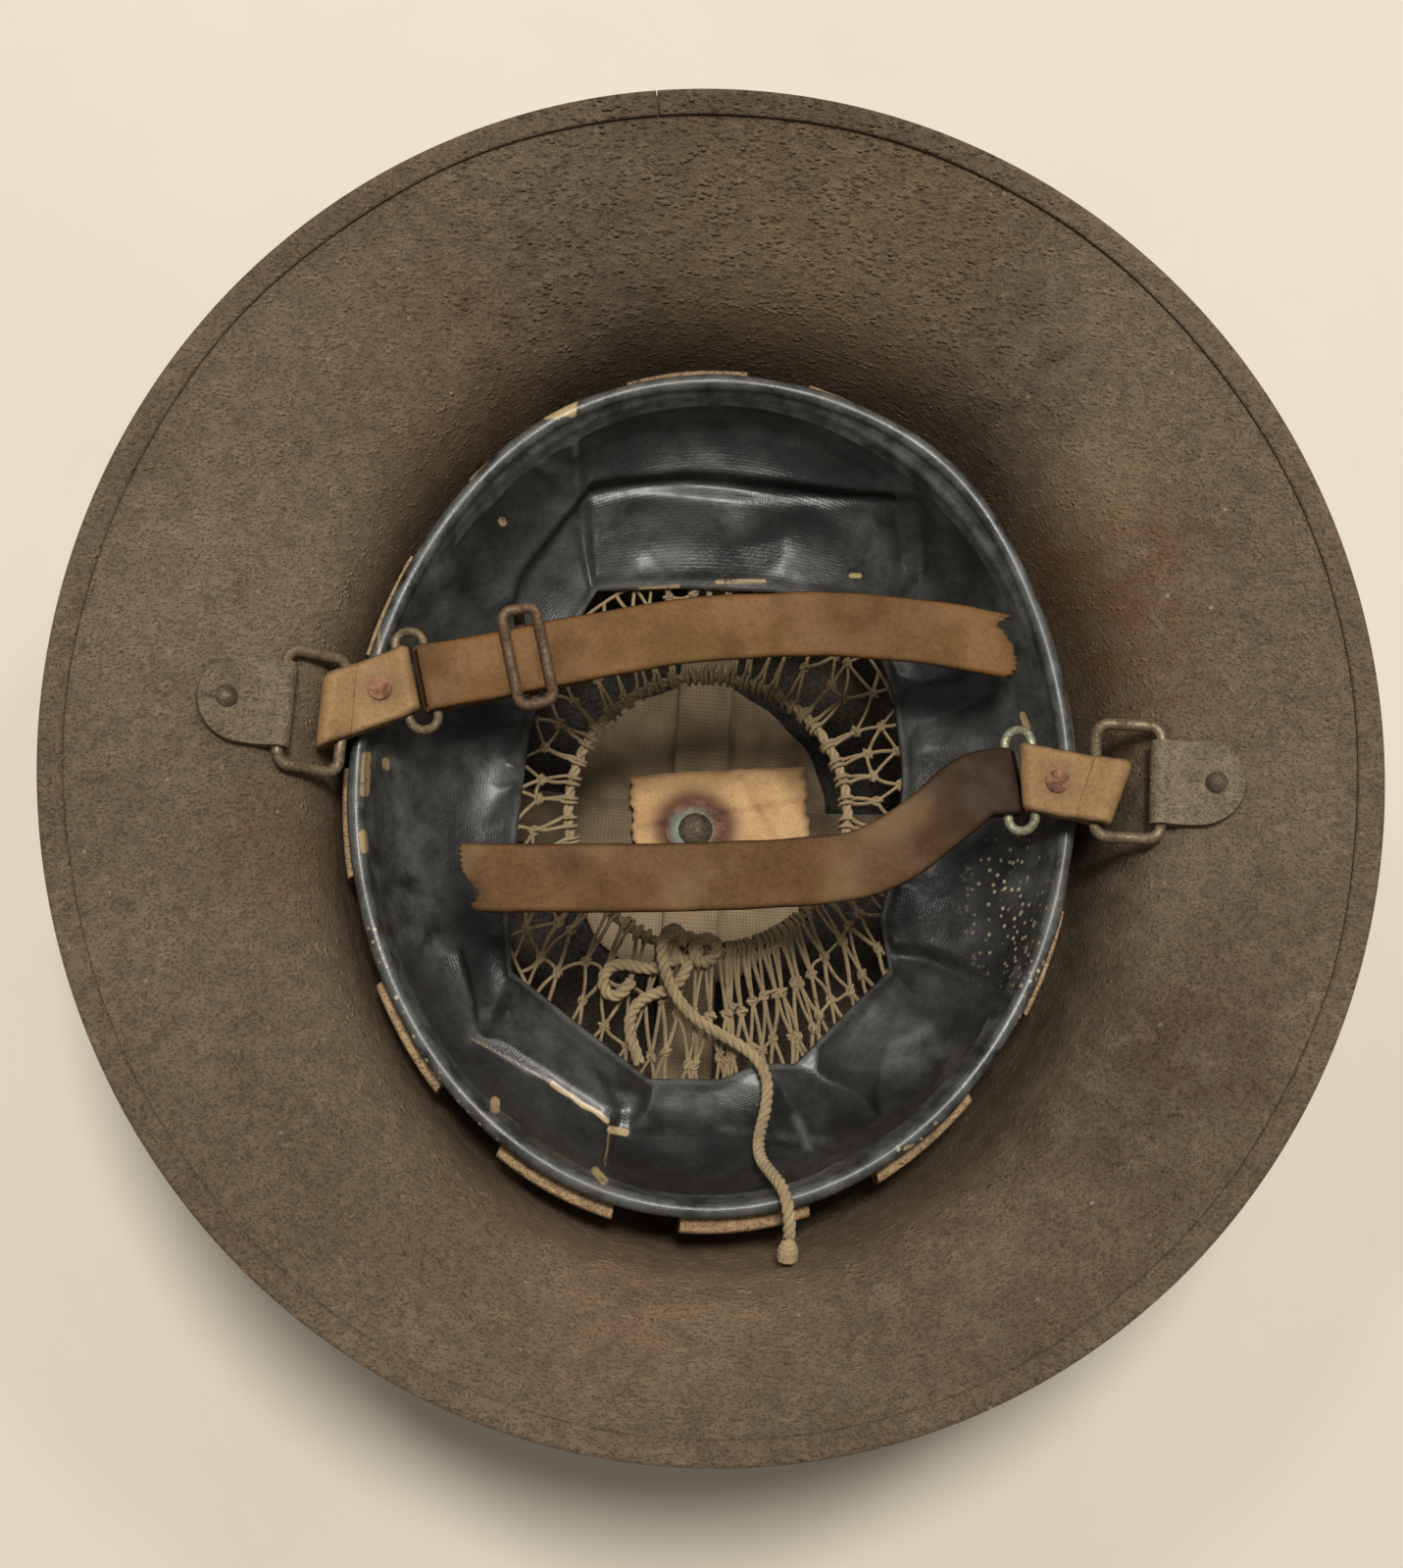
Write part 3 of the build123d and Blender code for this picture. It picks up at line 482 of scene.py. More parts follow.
def painted_steel(name, base, deep, patches=(), roughness=0.72, shade_deep_in_bowl=False):
    """Old sand-textured paint: mottled colour, dark pits, pale worn grit, patches of rust and stain and of painted
    light and shade, and painted shade deep in the bowl.
    """
    f = Finish(name, roughness, Metallic=0.0)
    wide = f.use("mottle", Scale=16.0, Low=0.38, High=0.66)
    fine = f.use("mottle", Scale=260.0, Low=0.42, High=0.66)
    grain = f.use("mottle", Scale=1100.0, Low=0.35, High=0.7)
    dust = f.use("mottle", Scale=34.0, Low=0.46, High=0.72)
    colour = f.mix(wide, base, deep)
    colour = f.mix(f.maths("MULTIPLY", fine, 0.34), colour, DARK)
    colour = f.mix(f.maths("MULTIPLY", grain, 0.3), colour, tint(146, 126, 98))
    colour = f.mix(f.maths("MULTIPLY", dust, 0.22), colour, tint(150, 134, 110))
    speckled = spread(f.tree, f.use("mottle", Scale=120.0, Low=0.36, High=0.6), 0.0, 1.0, 0.35, 1.0)
    # Lays the patches of rust and stain and those of painted light and shade, broken up by speckle.
    for centre, radius, ragged, strength, over in patches:
        mask = f.use("patch", Centre=[c * METRE for c in centre], Radius=radius * METRE, Ragged=ragged * METRE)
        broken = f.maths("MULTIPLY", mask, strength)
        colour = f.mix(f.maths("MULTIPLY", broken, speckled), colour, over)
    pits = f.maths("MULTIPLY", f.use("mottle", Scale=520.0, Low=0.6, High=0.72), f.use(
        "mottle", Scale=30.0, Low=0.42, High=0.6))
    colour = f.mix(f.maths("MULTIPLY", pits, 0.8), colour, DARK)
    chips = f.use("specks", Scale=640.0, Amount=0.006)
    colour = f.mix(f.maths("MULTIPLY", chips, 0.6), colour, tint(184, 168, 142))
    drawn = put(f.tree, "ShaderNodeMapping", {"Vector": f.place, "Scale": (0.62, 1.0, 1.0)}).outputs[0]
    coarse = f.use("grit", Vector=drawn, Scale=900.0)
    fine_grit = f.use("grit", Vector=drawn, Scale=2100.0)
    colour = f.mix(spread(f.tree, coarse, 0.55, 0.25, 0.0, 0.42), colour, DARK)
    colour = f.mix(spread(f.tree, fine_grit, 0.55, 0.95, 0.0, 0.30), colour, tint(170, 152, 122))
    # Painted shade: inner faces that look up, deep in the bowl, are laid nearly black for the deep shadow there.
    if shade_deep_in_bowl:
        upward = put(f.tree, "ShaderNodeSeparateXYZ", {0: put(f.tree, "ShaderNodeNewGeometry").outputs["Normal"]})
        deep_in = f.use("patch", Centre=(0.0, -0.0045, 0.004), Radius=0.102, Ragged=0.004)
        painted_shade = f.maths("MULTIPLY", deep_in, spread(f.tree, upward.outputs[2], 0.0, 0.12))
        colour = f.mix(f.maths("MULTIPLY", painted_shade, 0.94), colour, tint(20, 17, 13))
    f.colour(colour)
    rougher = f.use("patch", Centre=(0.0, 0.118, 0.088), Radius=0.095, Ragged=0.02)
    f.bump(f.maths("ADD", f.maths("MULTIPLY", coarse, spread(f.tree, rougher, 0.0, 1.0, 0.9, 3.0)),
                   f.maths("MULTIPLY", fine_grit, 0.6)), 0.7, 1.0)
    return f.material


def old_metal(name, base, deep, bright, roughness=0.42, metal=0.75):
    """Tarnished wire or plate: metal under patchy dark and pale growth."""
    f = Finish(name, roughness, Metallic=metal)
    wide = f.use("mottle", Scale=220.0, Low=0.38, High=0.62)
    fine = f.use("mottle", Scale=1400.0, Low=0.42, High=0.66)
    colour = f.mix(wide, base, deep)
    colour = f.mix(f.maths("MULTIPLY", fine, 0.5), colour, bright)
    f.colour(colour)
    f.rough(spread(f.tree, wide, 0.0, 1.0, roughness - 0.08, roughness + 0.22))
    f.bump(f.maths("ADD", wide, fine), 0.06, 0.7)
    return f.material


def leather_finish(name, base, deep, bright, roughness=0.68):
    """Strap leather: grain, cracks across, darker rubbed edges and stains read from the piece."""
    f = Finish(name, roughness, Specular_IOR_Level=0.25)
    wide = f.use("mottle", Scale=60.0, Low=0.36, High=0.66)
    fine = f.use("mottle", Scale=900.0, Low=0.4, High=0.68)
    colour = f.mix(wide, base, bright)
    colour = f.mix(f.maths("MULTIPLY", fine, 0.35), colour, deep)
    colour = f.mix(f.attribute("stain"), colour, deep)
    colour = f.mix(f.attribute("pale"), colour, tint(140, 112, 76))
    stretched = put(f.tree, "ShaderNodeMapping", {"Vector": f.uv, "Scale": (60.0, 6.0, 1.0)})
    cracks = put(f.tree, "ShaderNodeTexNoise", {"Vector": stretched.outputs[0], "Scale": 3.0, "Detail": 5.0,
                                                "Roughness": 0.7})
    lines = spread(f.tree, cracks.outputs["Fac"], 0.56, 0.70)
    colour = f.mix(f.maths("MULTIPLY", lines, 0.35), colour, deep)
    f.colour(colour)
    f.rough(spread(f.tree, wide, 0.0, 1.0, roughness - 0.08, roughness + 0.15))
    grain = put(f.tree, "ShaderNodeTexVoronoi", {"Vector": f.place, "Scale": 1500.0}, feature="DISTANCE_TO_EDGE")
    height = f.maths("SUBTRACT", grain.outputs["Distance"], f.maths("MULTIPLY", lines, 0.6))
    f.bump(height, 0.12, 0.6)
    return f.material


def twine_finish(name, base, deep, bright):
    """Dry twine: fibres round the strand, dusty hollows."""
    f = Finish(name, 0.88, Sheen_Weight=0.15)
    wide = f.use("mottle", Scale=180.0, Low=0.36, High=0.66)
    fine = f.use("mottle", Scale=2600.0, Low=0.4, High=0.65)
    colour = f.mix(wide, base, deep)
    colour = f.mix(f.maths("MULTIPLY", fine, 0.6), colour, bright)
    f.colour(colour)
    turned = put(f.tree, "ShaderNodeMapping", {"Vector": f.uv, "Scale": (14.0, 3.0, 1.0)})
    fibres = put(f.tree, "ShaderNodeTexWave", {"Vector": turned.outputs[0], "Scale": 2.0, "Distortion": 2.0,
                                               "Detail": 2.0}, bands_direction="DIAGONAL")
    f.bump(f.maths("ADD", fibres.outputs["Fac"], fine), 0.12, 0.7)
    return f.material


def oilcloth_finish():
    """Black oilcloth: glossy over a fine weave, silvery grey where it is worn and as painted light on lit facets,
    side panels and the roll, and rubbed to cream in spots.
    """
    f = Finish("oilcloth", 0.34, Coat_Weight=0.25, Coat_Roughness=0.25)
    wide = f.use("mottle", Scale=45.0, Low=0.35, High=0.68)
    fine = f.use("mottle", Scale=700.0, Low=0.4, High=0.66)
    colour = f.mix(wide, tint(33, 33, 32), tint(58, 58, 55))
    colour = f.mix(f.maths("MULTIPLY", fine, 0.35), colour, tint(20, 20, 20))
    # Silvery grey from the mesh's worn value: wear, and painted light and highlight on lit facets, side panels and
    # the roll.
    worn = f.maths("MULTIPLY", f.attribute("worn"), f.use("mottle", Scale=150.0, Low=0.30, High=0.70))
    colour = f.mix(f.maths("MULTIPLY", worn, 0.6), colour, tint(122, 123, 116))
    specks = f.maths("MULTIPLY", f.use("specks", Scale=620.0, Amount=0.5), f.attribute("flecks"))
    colour = f.mix(specks, colour, tint(196, 186, 152))
    bare = f.maths("MULTIPLY", spread(f.tree, f.attribute("bare"), 0.25, 0.6), f.use(
        "mottle", Scale=420.0, Low=0.30, High=0.46))
    colour = f.mix(bare, colour, tint(180, 156, 114))
    f.colour(colour)
    f.rough(spread(f.tree, wide, 0.0, 1.0, 0.3, 0.5))
    weave = f.use("cloth_grain", Vector=f.uv, Threads=1300.0)
    f.bump(f.maths("ADD", weave, f.maths("MULTIPLY", fine, 1.5)), 0.05, 0.5)
    return f.material


def webbing_finish(name, base, deep, threads=700.0):
    """Woven tape: crossing threads, dusty and stained."""
    f = Finish(name, 0.92, Sheen_Weight=0.2)
    wide = f.use("mottle", Scale=70.0, Low=0.36, High=0.66)
    weave = f.use("cloth_grain", Vector=f.uv, Threads=threads)
    colour = f.mix(wide, base, deep)
    colour = f.mix(spread(f.tree, weave, 0.0, 0.6, 0.35, 0.0), colour, tint(34, 27, 18))
    f.colour(colour)
    f.bump(weave, 0.12, 0.7)
    return f.material


def paper_finish():
    """Old paper: tan, browner at its edges and creases, with thin fibres."""
    f = Finish("old_paper", 0.85)
    wide = f.use("mottle", Scale=110.0, Low=0.38, High=0.64)
    fine = f.use("mottle", Scale=1500.0, Low=0.42, High=0.66)
    colour = f.mix(wide, tint(236, 194, 138), tint(212, 168, 116))
    colour = f.mix(f.maths("MULTIPLY", fine, 0.35), colour, tint(160, 118, 78))
    colour = f.mix(f.attribute("stain"), colour, tint(96, 58, 44))
    f.colour(colour)
    f.bump(fine, 0.05, 0.6)
    return f.material


def washer_finish():
    """Brass gone green: pale verdigris over red-brown."""
    f = Finish("green_washer", 0.8, Metallic=0.1)
    wide = f.use("mottle", Scale=240.0, Low=0.42, High=0.58)
    fine = f.use("mottle", Scale=1200.0, Low=0.4, High=0.62)
    middle = f.use("patch", Centre=(-0.001, -0.0045, 0.011), Radius=0.0075, Ragged=0.001)
    colour = f.mix(wide, tint(156, 110, 92), tint(118, 84, 68))
    green = f.mix(fine, tint(150, 190, 172), tint(196, 206, 180))
    colour = f.mix(f.maths("MULTIPLY", middle, 0.95), colour, green)
    f.colour(colour)
    f.bump(f.maths("ADD", wide, fine), 0.3, 0.8)
    return f.material


MATERIALS = {
    "shell": painted_steel("sand_paint", tint(136, 116, 91), tint(112, 93, 70), STEEL_PATCHES,
                           shade_deep_in_bowl=True),
    "edging": painted_steel("edging_paint", tint(130, 109, 84), tint(108, 88, 66)),
    "lug": painted_steel("lug_paint", tint(158, 141, 114), tint(134, 116, 90)),
    "wire": old_metal("dark_wire", tint(128, 110, 84), tint(92, 74, 54), tint(160, 146, 116), 0.5, 0.45),
    "slide": old_metal("rusty_slide", tint(104, 84, 62), tint(80, 56, 40), tint(134, 108, 78), 0.6, 0.3),
    "green_wire": old_metal("green_wire", tint(168, 172, 142), tint(120, 118, 92), tint(208, 214, 186), 0.4, 0.5),
    "copper": old_metal("copper_rivet", tint(134, 88, 58), tint(92, 62, 44), tint(156, 112, 78), 0.6, 0.3),
    "steel": old_metal("blackened_steel", tint(96, 84, 68), tint(66, 54, 42), tint(130, 116, 94), 0.5, 0.4),
    "brass": washer_finish(),
    "felt": webbing_finish("dark_felt", tint(158, 138, 108), tint(132, 113, 86), 1150.0),
    "webbing": webbing_finish("webbing", tint(136, 116, 90), tint(108, 92, 70), 1100.0),
    "paper": paper_finish(),
    "band": leather_finish("liner_band", tint(120, 92, 62), tint(80, 58, 38), tint(140, 108, 74), 0.7),
    "oilcloth": oilcloth_finish(),
    "twine": twine_finish("net_twine", tint(172, 146, 104), tint(132, 108, 74), tint(204, 182, 138)),
    "cord": twine_finish("drawstring", tint(182, 156, 114), tint(146, 120, 84), tint(210, 190, 146)),
    "tan": leather_finish("tan_leather", tint(172, 136, 92), tint(92, 66, 44), tint(158, 126, 86)),
    "strap": leather_finish("strap_leather", tint(136, 96, 52), tint(72, 48, 28), tint(114, 84, 48)),
    "red": leather_finish("red_leather", tint(118, 82, 46), tint(48, 33, 20), tint(102, 72, 42)),
    "rubber": painted_steel("old_rubber", tint(240, 200, 150), tint(214, 172, 124), (), 0.8),
}

NODE_FINISHES = {
    "shell": "shell", "left_lug": "lug", "right_lug": "lug",
    "left_lug_rivet": "steel", "right_lug_rivet": "steel", "left_bail": "wire", "right_bail": "wire",
    "left_ring": "wire", "right_ring": "green_wire", "strap_slide": "slide",
    "left_loop_rivet": "copper", "right_loop_rivet": "copper", "crown_rivet": "steel",
    "crown_washer": "brass", "tube_studs": "steel",
}


def paint_node(node, material):
    """Gives a CAD node's own objects a material."""
    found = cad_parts[node]
    for obj in found if isinstance(found, (list, tuple)) else [found]:
        obj.data.materials.clear()
        obj.data.materials.append(material)


# Oilcloth

LINER_MIDDLE = vec(0.5, -4.5)
OPENING_MIDDLE = vec(1.0, -10.0)
ROLL_HALF = vec(82.7, 98.1)
OPENING_HEIGHT, ROLL_HEIGHT, ROLL_RADIUS = 50.0, 80.0, 2.0
CLOTH = 1.2
# The skirt's line from the opening to the roll: share along it, share outwards and share upwards
SKIRT_SHARES = [(0.0, 0.0, 0.0), (0.20, 0.34, 0.083), (0.45, 0.69, 0.30), (0.72, 0.90, 0.60), (1.0, 1.0, 0.96)]
# Where the roll stands out: its direction in degrees, by how many mm, and how wide in radians
ROLL_CORNERS = [(52.0, 2.6, 0.34), (122.0, 1.2, 0.3)]
# The opening's outline round from the right, in mm
OPENING = [
    (49.0, 8.0), (46.0, 26.0), (40.0, 42.0), (34.0, 50.0), (14.0, 51.5), (-10.0, 50.5), (-31.0, 48.0),
    (-40.0, 30.0), (-45.0, 10.0), (-46.0, -14.0), (-46.5, -36.0), (-44.5, -50.0), (-28.0, -61.0), (-9.5, -73.5),
    (8.0, -72.5), (17.0, -68.0), (26.0, -67.5), (38.0, -54.0), (48.0, -43.0), (45.0, -30.0), (49.0, -10.0),
]
# Creases of the cloth: lines of (x, y) in the photograph's pixels, and how far the cloth stands in there, in mm
CREASES = [
    [(588, 398, 0.6), (590, 440, 1.2), (595, 482, 3.0)], [(582, 400, 1.9), (583, 440, 2.5), (587, 490, 3.8)],
    [(600, 484, 3.4), (640, 482, 3.8), (700, 477, 4.4), (760, 482, 4.6), (850, 491, 4.4), (905, 494, 3.6),
     (926, 494, 2.4)],
    [(604, 499, 0.2), (650, 492, 0.0), (700, 489, 0.0), (760, 496, 0.0), (850, 504, 0.0), (915, 505, 0.0)],
    [(612, 512, 1.4), (655, 505, 1.8), (738, 510, 2.9), (757, 512, 2.9), (800, 516, 1.2), (862, 514, 1.5),
     (905, 512, 2.3)], [(603, 512, 1.4), (602, 560, 2.3), (607, 594, 1.5)], [(650, 545, 0.7), (655, 592, 0.7)],
    [(755, 532, 2.8), (738, 556, 1.6), (722, 580, 1.0)], [(800, 545, 0.2), (800, 588, 0.4)],
    [(871, 517, 1.4), (864, 545, 2.0), (857, 585, 1.6)], [(919, 508, 2.4), (925, 541, 3.6), (928, 588, 3.2)],
    [(936, 505, 0.0), (938, 545, -0.4), (940, 588, -0.4)],
    [(588, 498, 3.6), (574, 518, 3.7), (552, 548, 3.5), (533, 572, 3.3), (522, 592, 3.0), (519, 612, 2.6)],
    [(591, 512, -0.4), (580, 525, 0.1), (558, 556, 0.2), (539, 580, 0.3), (528, 600, 0.4), (525, 615, 0.5)],
    [(576, 530, 0.6), (590, 565, 0.9), (600, 602, 0.9)], [(594, 522, -0.9), (597, 560, -1.0), (603, 598, -0.8)],
    [(449, 541, 1.6), (453, 565, 2.3), (458, 590, 2.1), (464, 615, 1.6), (470, 632, 1.0)],
    [(500, 500, 1.8), (505, 520, 1.8)], [(425, 520, 0.4), (430, 600, 0.3)], [(520, 440, 1.3), (540, 470, 2.0)],
    [(480, 600, 0.5), (490, 630, 0.5)], [(650, 440, 0.9), (750, 434, 0.7), (850, 440, 0.9), (930, 455, 0.4)],
    [(958, 520, 1.0), (962, 570, 1.3), (968, 600, 1.2)],
    [(978, 464, 0.6), (981, 487, 1.7), (990, 510, 1.6), (1000, 533, 0.7)], [(1016, 560, 0.2), (1030, 620, 0.3)],
    [(1000, 640, 0.9), (1010, 670, 0.8)], [(905, 690, 1.4), (936, 700, 2.4), (980, 700, 2.4)],
    [(936, 738, 0.2), (965, 729, 0.3), (995, 717, 0.5), (1046, 692, 0.5)],
    [(930, 770, 1.8), (985, 764, 2.6), (1022, 742, 1.9)], [(1030, 790, 0.9), (1050, 740, 0.3)],
    [(918, 905, 1.2), (960, 902, 1.6), (1004, 930, 1.2)], [(1052, 880, 0.3), (1056, 960, 0.3)],
    [(906, 960, 2.0), (940, 964, 2.8), (975, 976, 2.3), (1005, 993, 1.0)],
    [(916, 974, -0.4), (944, 978, -1.0), (978, 993, -0.8), (1008, 1003, 0.1)],
    [(924, 988, 1.3), (950, 993, 1.8), (980, 1006, 1.4)],
    [(970, 1044, 2.6), (940, 1054, 3.3), (911, 1068, 3.8), (903, 1100, 3.6), (898, 1130, 3.1)],
    [(886, 1026, 1.6), (862, 1060, 1.6), (856, 1090, 2.2)], [(968, 1066, 1.2), (997, 1042, 2.2), (1020, 1030, 1.2)],
    [(820, 1088, -0.6), (850, 1105, -1.3), (880, 1125, -1.8), (897, 1140, -1.0)],
    [(900, 1141, 0.8), (874, 1163, 0.9), (853, 1183, 1.2)], [(938, 1140, 0.5), (950, 1100, 0.6)],
    [(793, 1102, 1.2), (797, 1115, 2.6), (810, 1139, 3.6), (826, 1178, 2.8)],
    [(779, 1108, -0.6), (788, 1145, -1.0), (810, 1174, 0.2)], [(835, 1128, 1.0), (844, 1164, 1.2)],
    [(740, 1162, 1.3), (783, 1172, 1.8), (826, 1182, 2.0), (855, 1189, 1.5), (879, 1192, 0.7)],
    [(735, 1130, 0.2), (760, 1134, 0.0)], [(985, 1110, 0.4), (1020, 1062, 0.4)],
    [(532, 1008, 2.0), (519, 1025, 3.5), (512, 1037, 3.8), (517, 1057, 3.3)],
    [(486, 1061, 2.4), (520, 1079, 3.2), (563, 1104, 3.6), (614, 1139, 3.8), (632, 1139, 3.4)],
    [(482, 1066, 0.7), (516, 1086, 1.4), (559, 1111, 1.9), (608, 1146, 2.1)], [(560, 1056, 2.0), (598, 1084, 2.2)],
    [(602, 1096, 2.3), (609, 1110, 3.6), (616, 1126, 4.0)], [(613, 1098, 1.6), (621, 1112, 2.4), (627, 1132, 2.8)],
    [(626, 1104, 2.0), (632, 1120, 4.0), (638, 1140, 4.2)], [(656, 1106, 1.8), (651, 1125, 3.8), (641, 1143, 3.8)],
    [(665, 1114, -0.3), (659, 1132, 0.0), (650, 1149, 0.2)], [(690, 1122, 1.4), (702, 1142, 1.8)],
    [(556, 1112, 2.0), (548, 1122, 3.0), (535, 1140, 2.2)], [(500, 1104, 0.9), (510, 1126, 0.9)],
    [(524, 1149, 1.6), (558, 1147, 2.5), (590, 1146, 2.6), (617, 1146, 2.4)],
    [(621, 1150, 2.4), (618, 1180, 1.5), (615, 1208, 0.5)], [(627, 1152, 0.8), (624, 1180, 0.3), (620, 1208, 0.1)],
    [(640, 1158, 1.8), (680, 1162, 1.9), (738, 1165, 1.4)],
    [(461, 973, 3.6), (470, 1004, 3.6), (476, 1036, 3.1), (480, 1056, 2.2)],
    [(404, 947, 1.2), (424, 938, 2.2), (442, 932, 2.4)],
    [(400, 962, 0.3), (436, 964, 1.0), (450, 1000, 1.7), (456, 1040, 1.6)],
    [(468, 966, 0.7), (478, 1001, 0.4), (483, 1034, 0.3), (488, 1052, 0.6)],
    [(502, 962, 0.5), (514, 1000, 0.3), (502, 1036, 0.4)], [(400, 800, 0.8), (428, 850, 1.1), (446, 900, 1.6)],
    [(392, 880, 0.3), (396, 1000, 0.2)], [(390, 620, 0.2), (380, 700, 0.3)],
    [(452, 767, 1.6), (496, 752, 2.1), (540, 735, 3.2), (533, 780, 2.6), (526, 815, 2.1), (490, 793, 0.6),
     (452, 767, 1.6)], [(500, 772, 0.6), (516, 778, 0.7)], [(470, 830, 0.9), (500, 850, 1.0)],
]
CREASE_STEP = 7
# Strokes of wear, and in the second list also of painted light, in the photograph's pixels: the line, its width,
# and how strong
BARE = [
    ([(585, 400), (583, 421)], 5, 1.0), ([(582, 420), (556, 424)], 4, 1.0), ([(584, 408), (566, 422)], 6, 1.0),
    ([(512, 531), (513, 533)], 4, 1.0), ([(374, 771), (372, 808)], 5, 1.0), ([(393, 776), (394, 782)], 4, 0.9),
    ([(370, 850), (372, 866)], 5, 0.8), ([(481, 1059), (520, 1080), (563, 1105)], 2.2, 0.5),
    ([(563, 1105), (574, 1113), (583, 1117), (594, 1127), (606, 1132), (619, 1143)], 3.4, 0.8),
    ([(505, 1123), (505, 1131)], 5, 1.0), ([(623, 1152), (638, 1155)], 4, 1.0),
    ([(622, 1149), (617, 1188)], 2.4, 0.45), ([(607, 1194), (616, 1204)], 5, 0.8),
    ([(1043, 729), (1048, 742)], 3.5, 1.0), ([(1000, 454), (1006, 462)], 5, 0.8),
    ([(386, 640), (388, 700)], 3, 0.5), ([(925, 1172), (932, 1170)], 4, 0.8), ([(653, 601), (692, 598)], 2.6, 0.8),
    ([(731, 593), (780, 593)], 2.6, 0.8), ([(868, 587), (877, 587)], 3, 0.8),
]
# Silvery strokes: some are wear, and many are painted light: lit facets and side panels, a painted sheen at the
# lower right, and highlights on the flap and along the roll's top right.
WEAR_AND_LIGHT = [
    ([(605, 515), (650, 560)], 40, 0.5), ([(735, 512), (752, 530)], 18, 0.8), ([(440, 560), (452, 620)], 22, 0.6),
    ([(470, 780), (520, 790)], 34, 0.5), ([(414, 952), (450, 970)], 18, 1.0), ([(530, 1040), (600, 1100)], 30, 0.5),
    ([(889, 1042), (969, 1079)], 30, 0.6), ([(880, 540), (900, 580)], 22, 0.6),
    ([(640, 1120), (650, 1140)], 10, 0.9), ([(480, 1060), (500, 1030)], 8, 0.7),
    ([(812, 1140), (826, 1174)], 5, 0.9), ([(985, 760), (1000, 800)], 20, 0.4), ([(560, 400), (640, 384)], 20, 0.3),
    ([(490, 460), (560, 430)], 24, 0.4), ([(690, 1120), (720, 1130)], 14, 0.7),
    ([(400, 1010), (420, 1060)], 16, 0.4), ([(735, 1150), (850, 1165)], 5, 0.6),
    ([(440, 570), (500, 560)], 14, 0.3), ([(586, 427), (588, 496)], 3, 0.7),
    ([(405, 640), (400, 800), (420, 930)], 32, 0.75), ([(1030, 620), (1052, 760), (1040, 900)], 28, 0.65),
    ([(880, 412), (960, 440), (1020, 490), (1060, 560)], 9, 1.0),
]
FLECKS = [
    ([(1030, 880), (1036, 960)], 34, 0.9), ([(1040, 880), (1044, 1000)], 20, 0.6),
    ([(380, 950), (420, 1065), (440, 1095), (470, 1130), (500, 1160)], 7, 1.0),
    ([(1060, 980), (1040, 1060), (990, 1130), (920, 1175)], 7, 1.0),
]


def stroke(spots, line, width):
    """How near pixels are to a line: 1 on it, falling as a bell of that width."""
    line = np.asarray(line, dtype=float)
    best = np.full(spots.shape[:-1], np.inf)
    for a, b in zip(line, line[1:]):
        run = b - a
        t = np.clip(((spots - a) @ run) / (run @ run), 0, 1)
        best = np.minimum(best, np.linalg.norm(spots - (a + t[..., None] * run), axis=-1))
    return np.exp(-(best / width) ** 2)


def facets(spots, borders):
    """How far the cloth stands in at pixels: flat between the creases, and 0 along the borders.

    The creases' points, a few pixels apart, are joined into Delaunay triangles. Inside each triangle the value is
    that of the plane through its three corners, by the shares of its area.
    """
    lines = [np.array(line, dtype=float) for line in CREASES]
    known = [even(line, int(np.ptp(line[:, 0]) + np.ptp(line[:, 1])) // CREASE_STEP + 2) for line in lines]
    known = np.concatenate(known + [np.pad(border, ((0, 0), (0, 1))) for border in borders])
    corners, _, triangles, origin, *_ = delaunay_2d_cdt([Vector(p) for p in known[:, :2].tolist()], [], [], 0, 0.01)
    rise = np.array([known[o[0], 2] if o else 0.0 for o in origin])
    corners = np.array([c[:] for c in corners])
    flat = spots.reshape(-1, 2)
    found = np.zeros(len(flat))
    for i, j, k in triangles:
        a, b, c = corners[[i, j, k]]
        low, high = np.minimum(np.minimum(a, b), c), np.maximum(np.maximum(a, b), c)
        near = np.flatnonzero(((flat >= low) & (flat <= high)).all(1))
        whole = (b[0] - a[0]) * (c[1] - a[1]) - (b[1] - a[1]) * (c[0] - a[0])
        if not len(near) or abs(whole) < 1e-6:
            continue
        off = flat[near] - a
        second = (off[:, 0] * (c[1] - a[1]) - off[:, 1] * (c[0] - a[0])) / whole
        third = (off[:, 1] * (b[0] - a[0]) - off[:, 0] * (b[1] - a[1])) / whole
        inside = (second >= -1e-6) & (third >= -1e-6) & (second + third <= 1 + 1e-6)
        value = rise[i] + (rise[j] - rise[i]) * second + (rise[k] - rise[i]) * third
        found[near[inside]] = value[inside]
    return found.reshape(spots.shape[:-1])


def softened(values, times):
    """The values after that many passes of quarter, half, quarter along both ways of a grid closed round."""
    for _ in range(times):
        values = (np.roll(values, 1, 1) + 2 * values + np.roll(values, -1, 1)) / 4
        longer = np.pad(values, ((1, 1), (0, 0)), mode="edge")
        values = (longer[:-2] + 2 * values + longer[2:]) / 4
    return values


def opening_edge(angle):
    """Points of the opening's outline at angles round its middle, by its polygon."""
    corners = np.array(OPENING + OPENING[:1])
    fine = np.concatenate([a + (b - a) * np.linspace(0, 1, 40, endpoint=False)[:, None]
                           for a, b in zip(corners, corners[1:])])
    at = np.unwrap(np.arctan2(fine[:, 1] - OPENING_MIDDLE[1], fine[:, 0] - OPENING_MIDDLE[0]))
    order = np.argsort(at % TURN)
    reach = np.linalg.norm(fine - OPENING_MIDDLE, axis=1)[order]
    got = np.interp(angle % TURN, (at % TURN)[order], reach, period=TURN)
    return OPENING_MIDDLE + got[:, None] * np.stack([np.cos(angle), np.sin(angle)], 1)


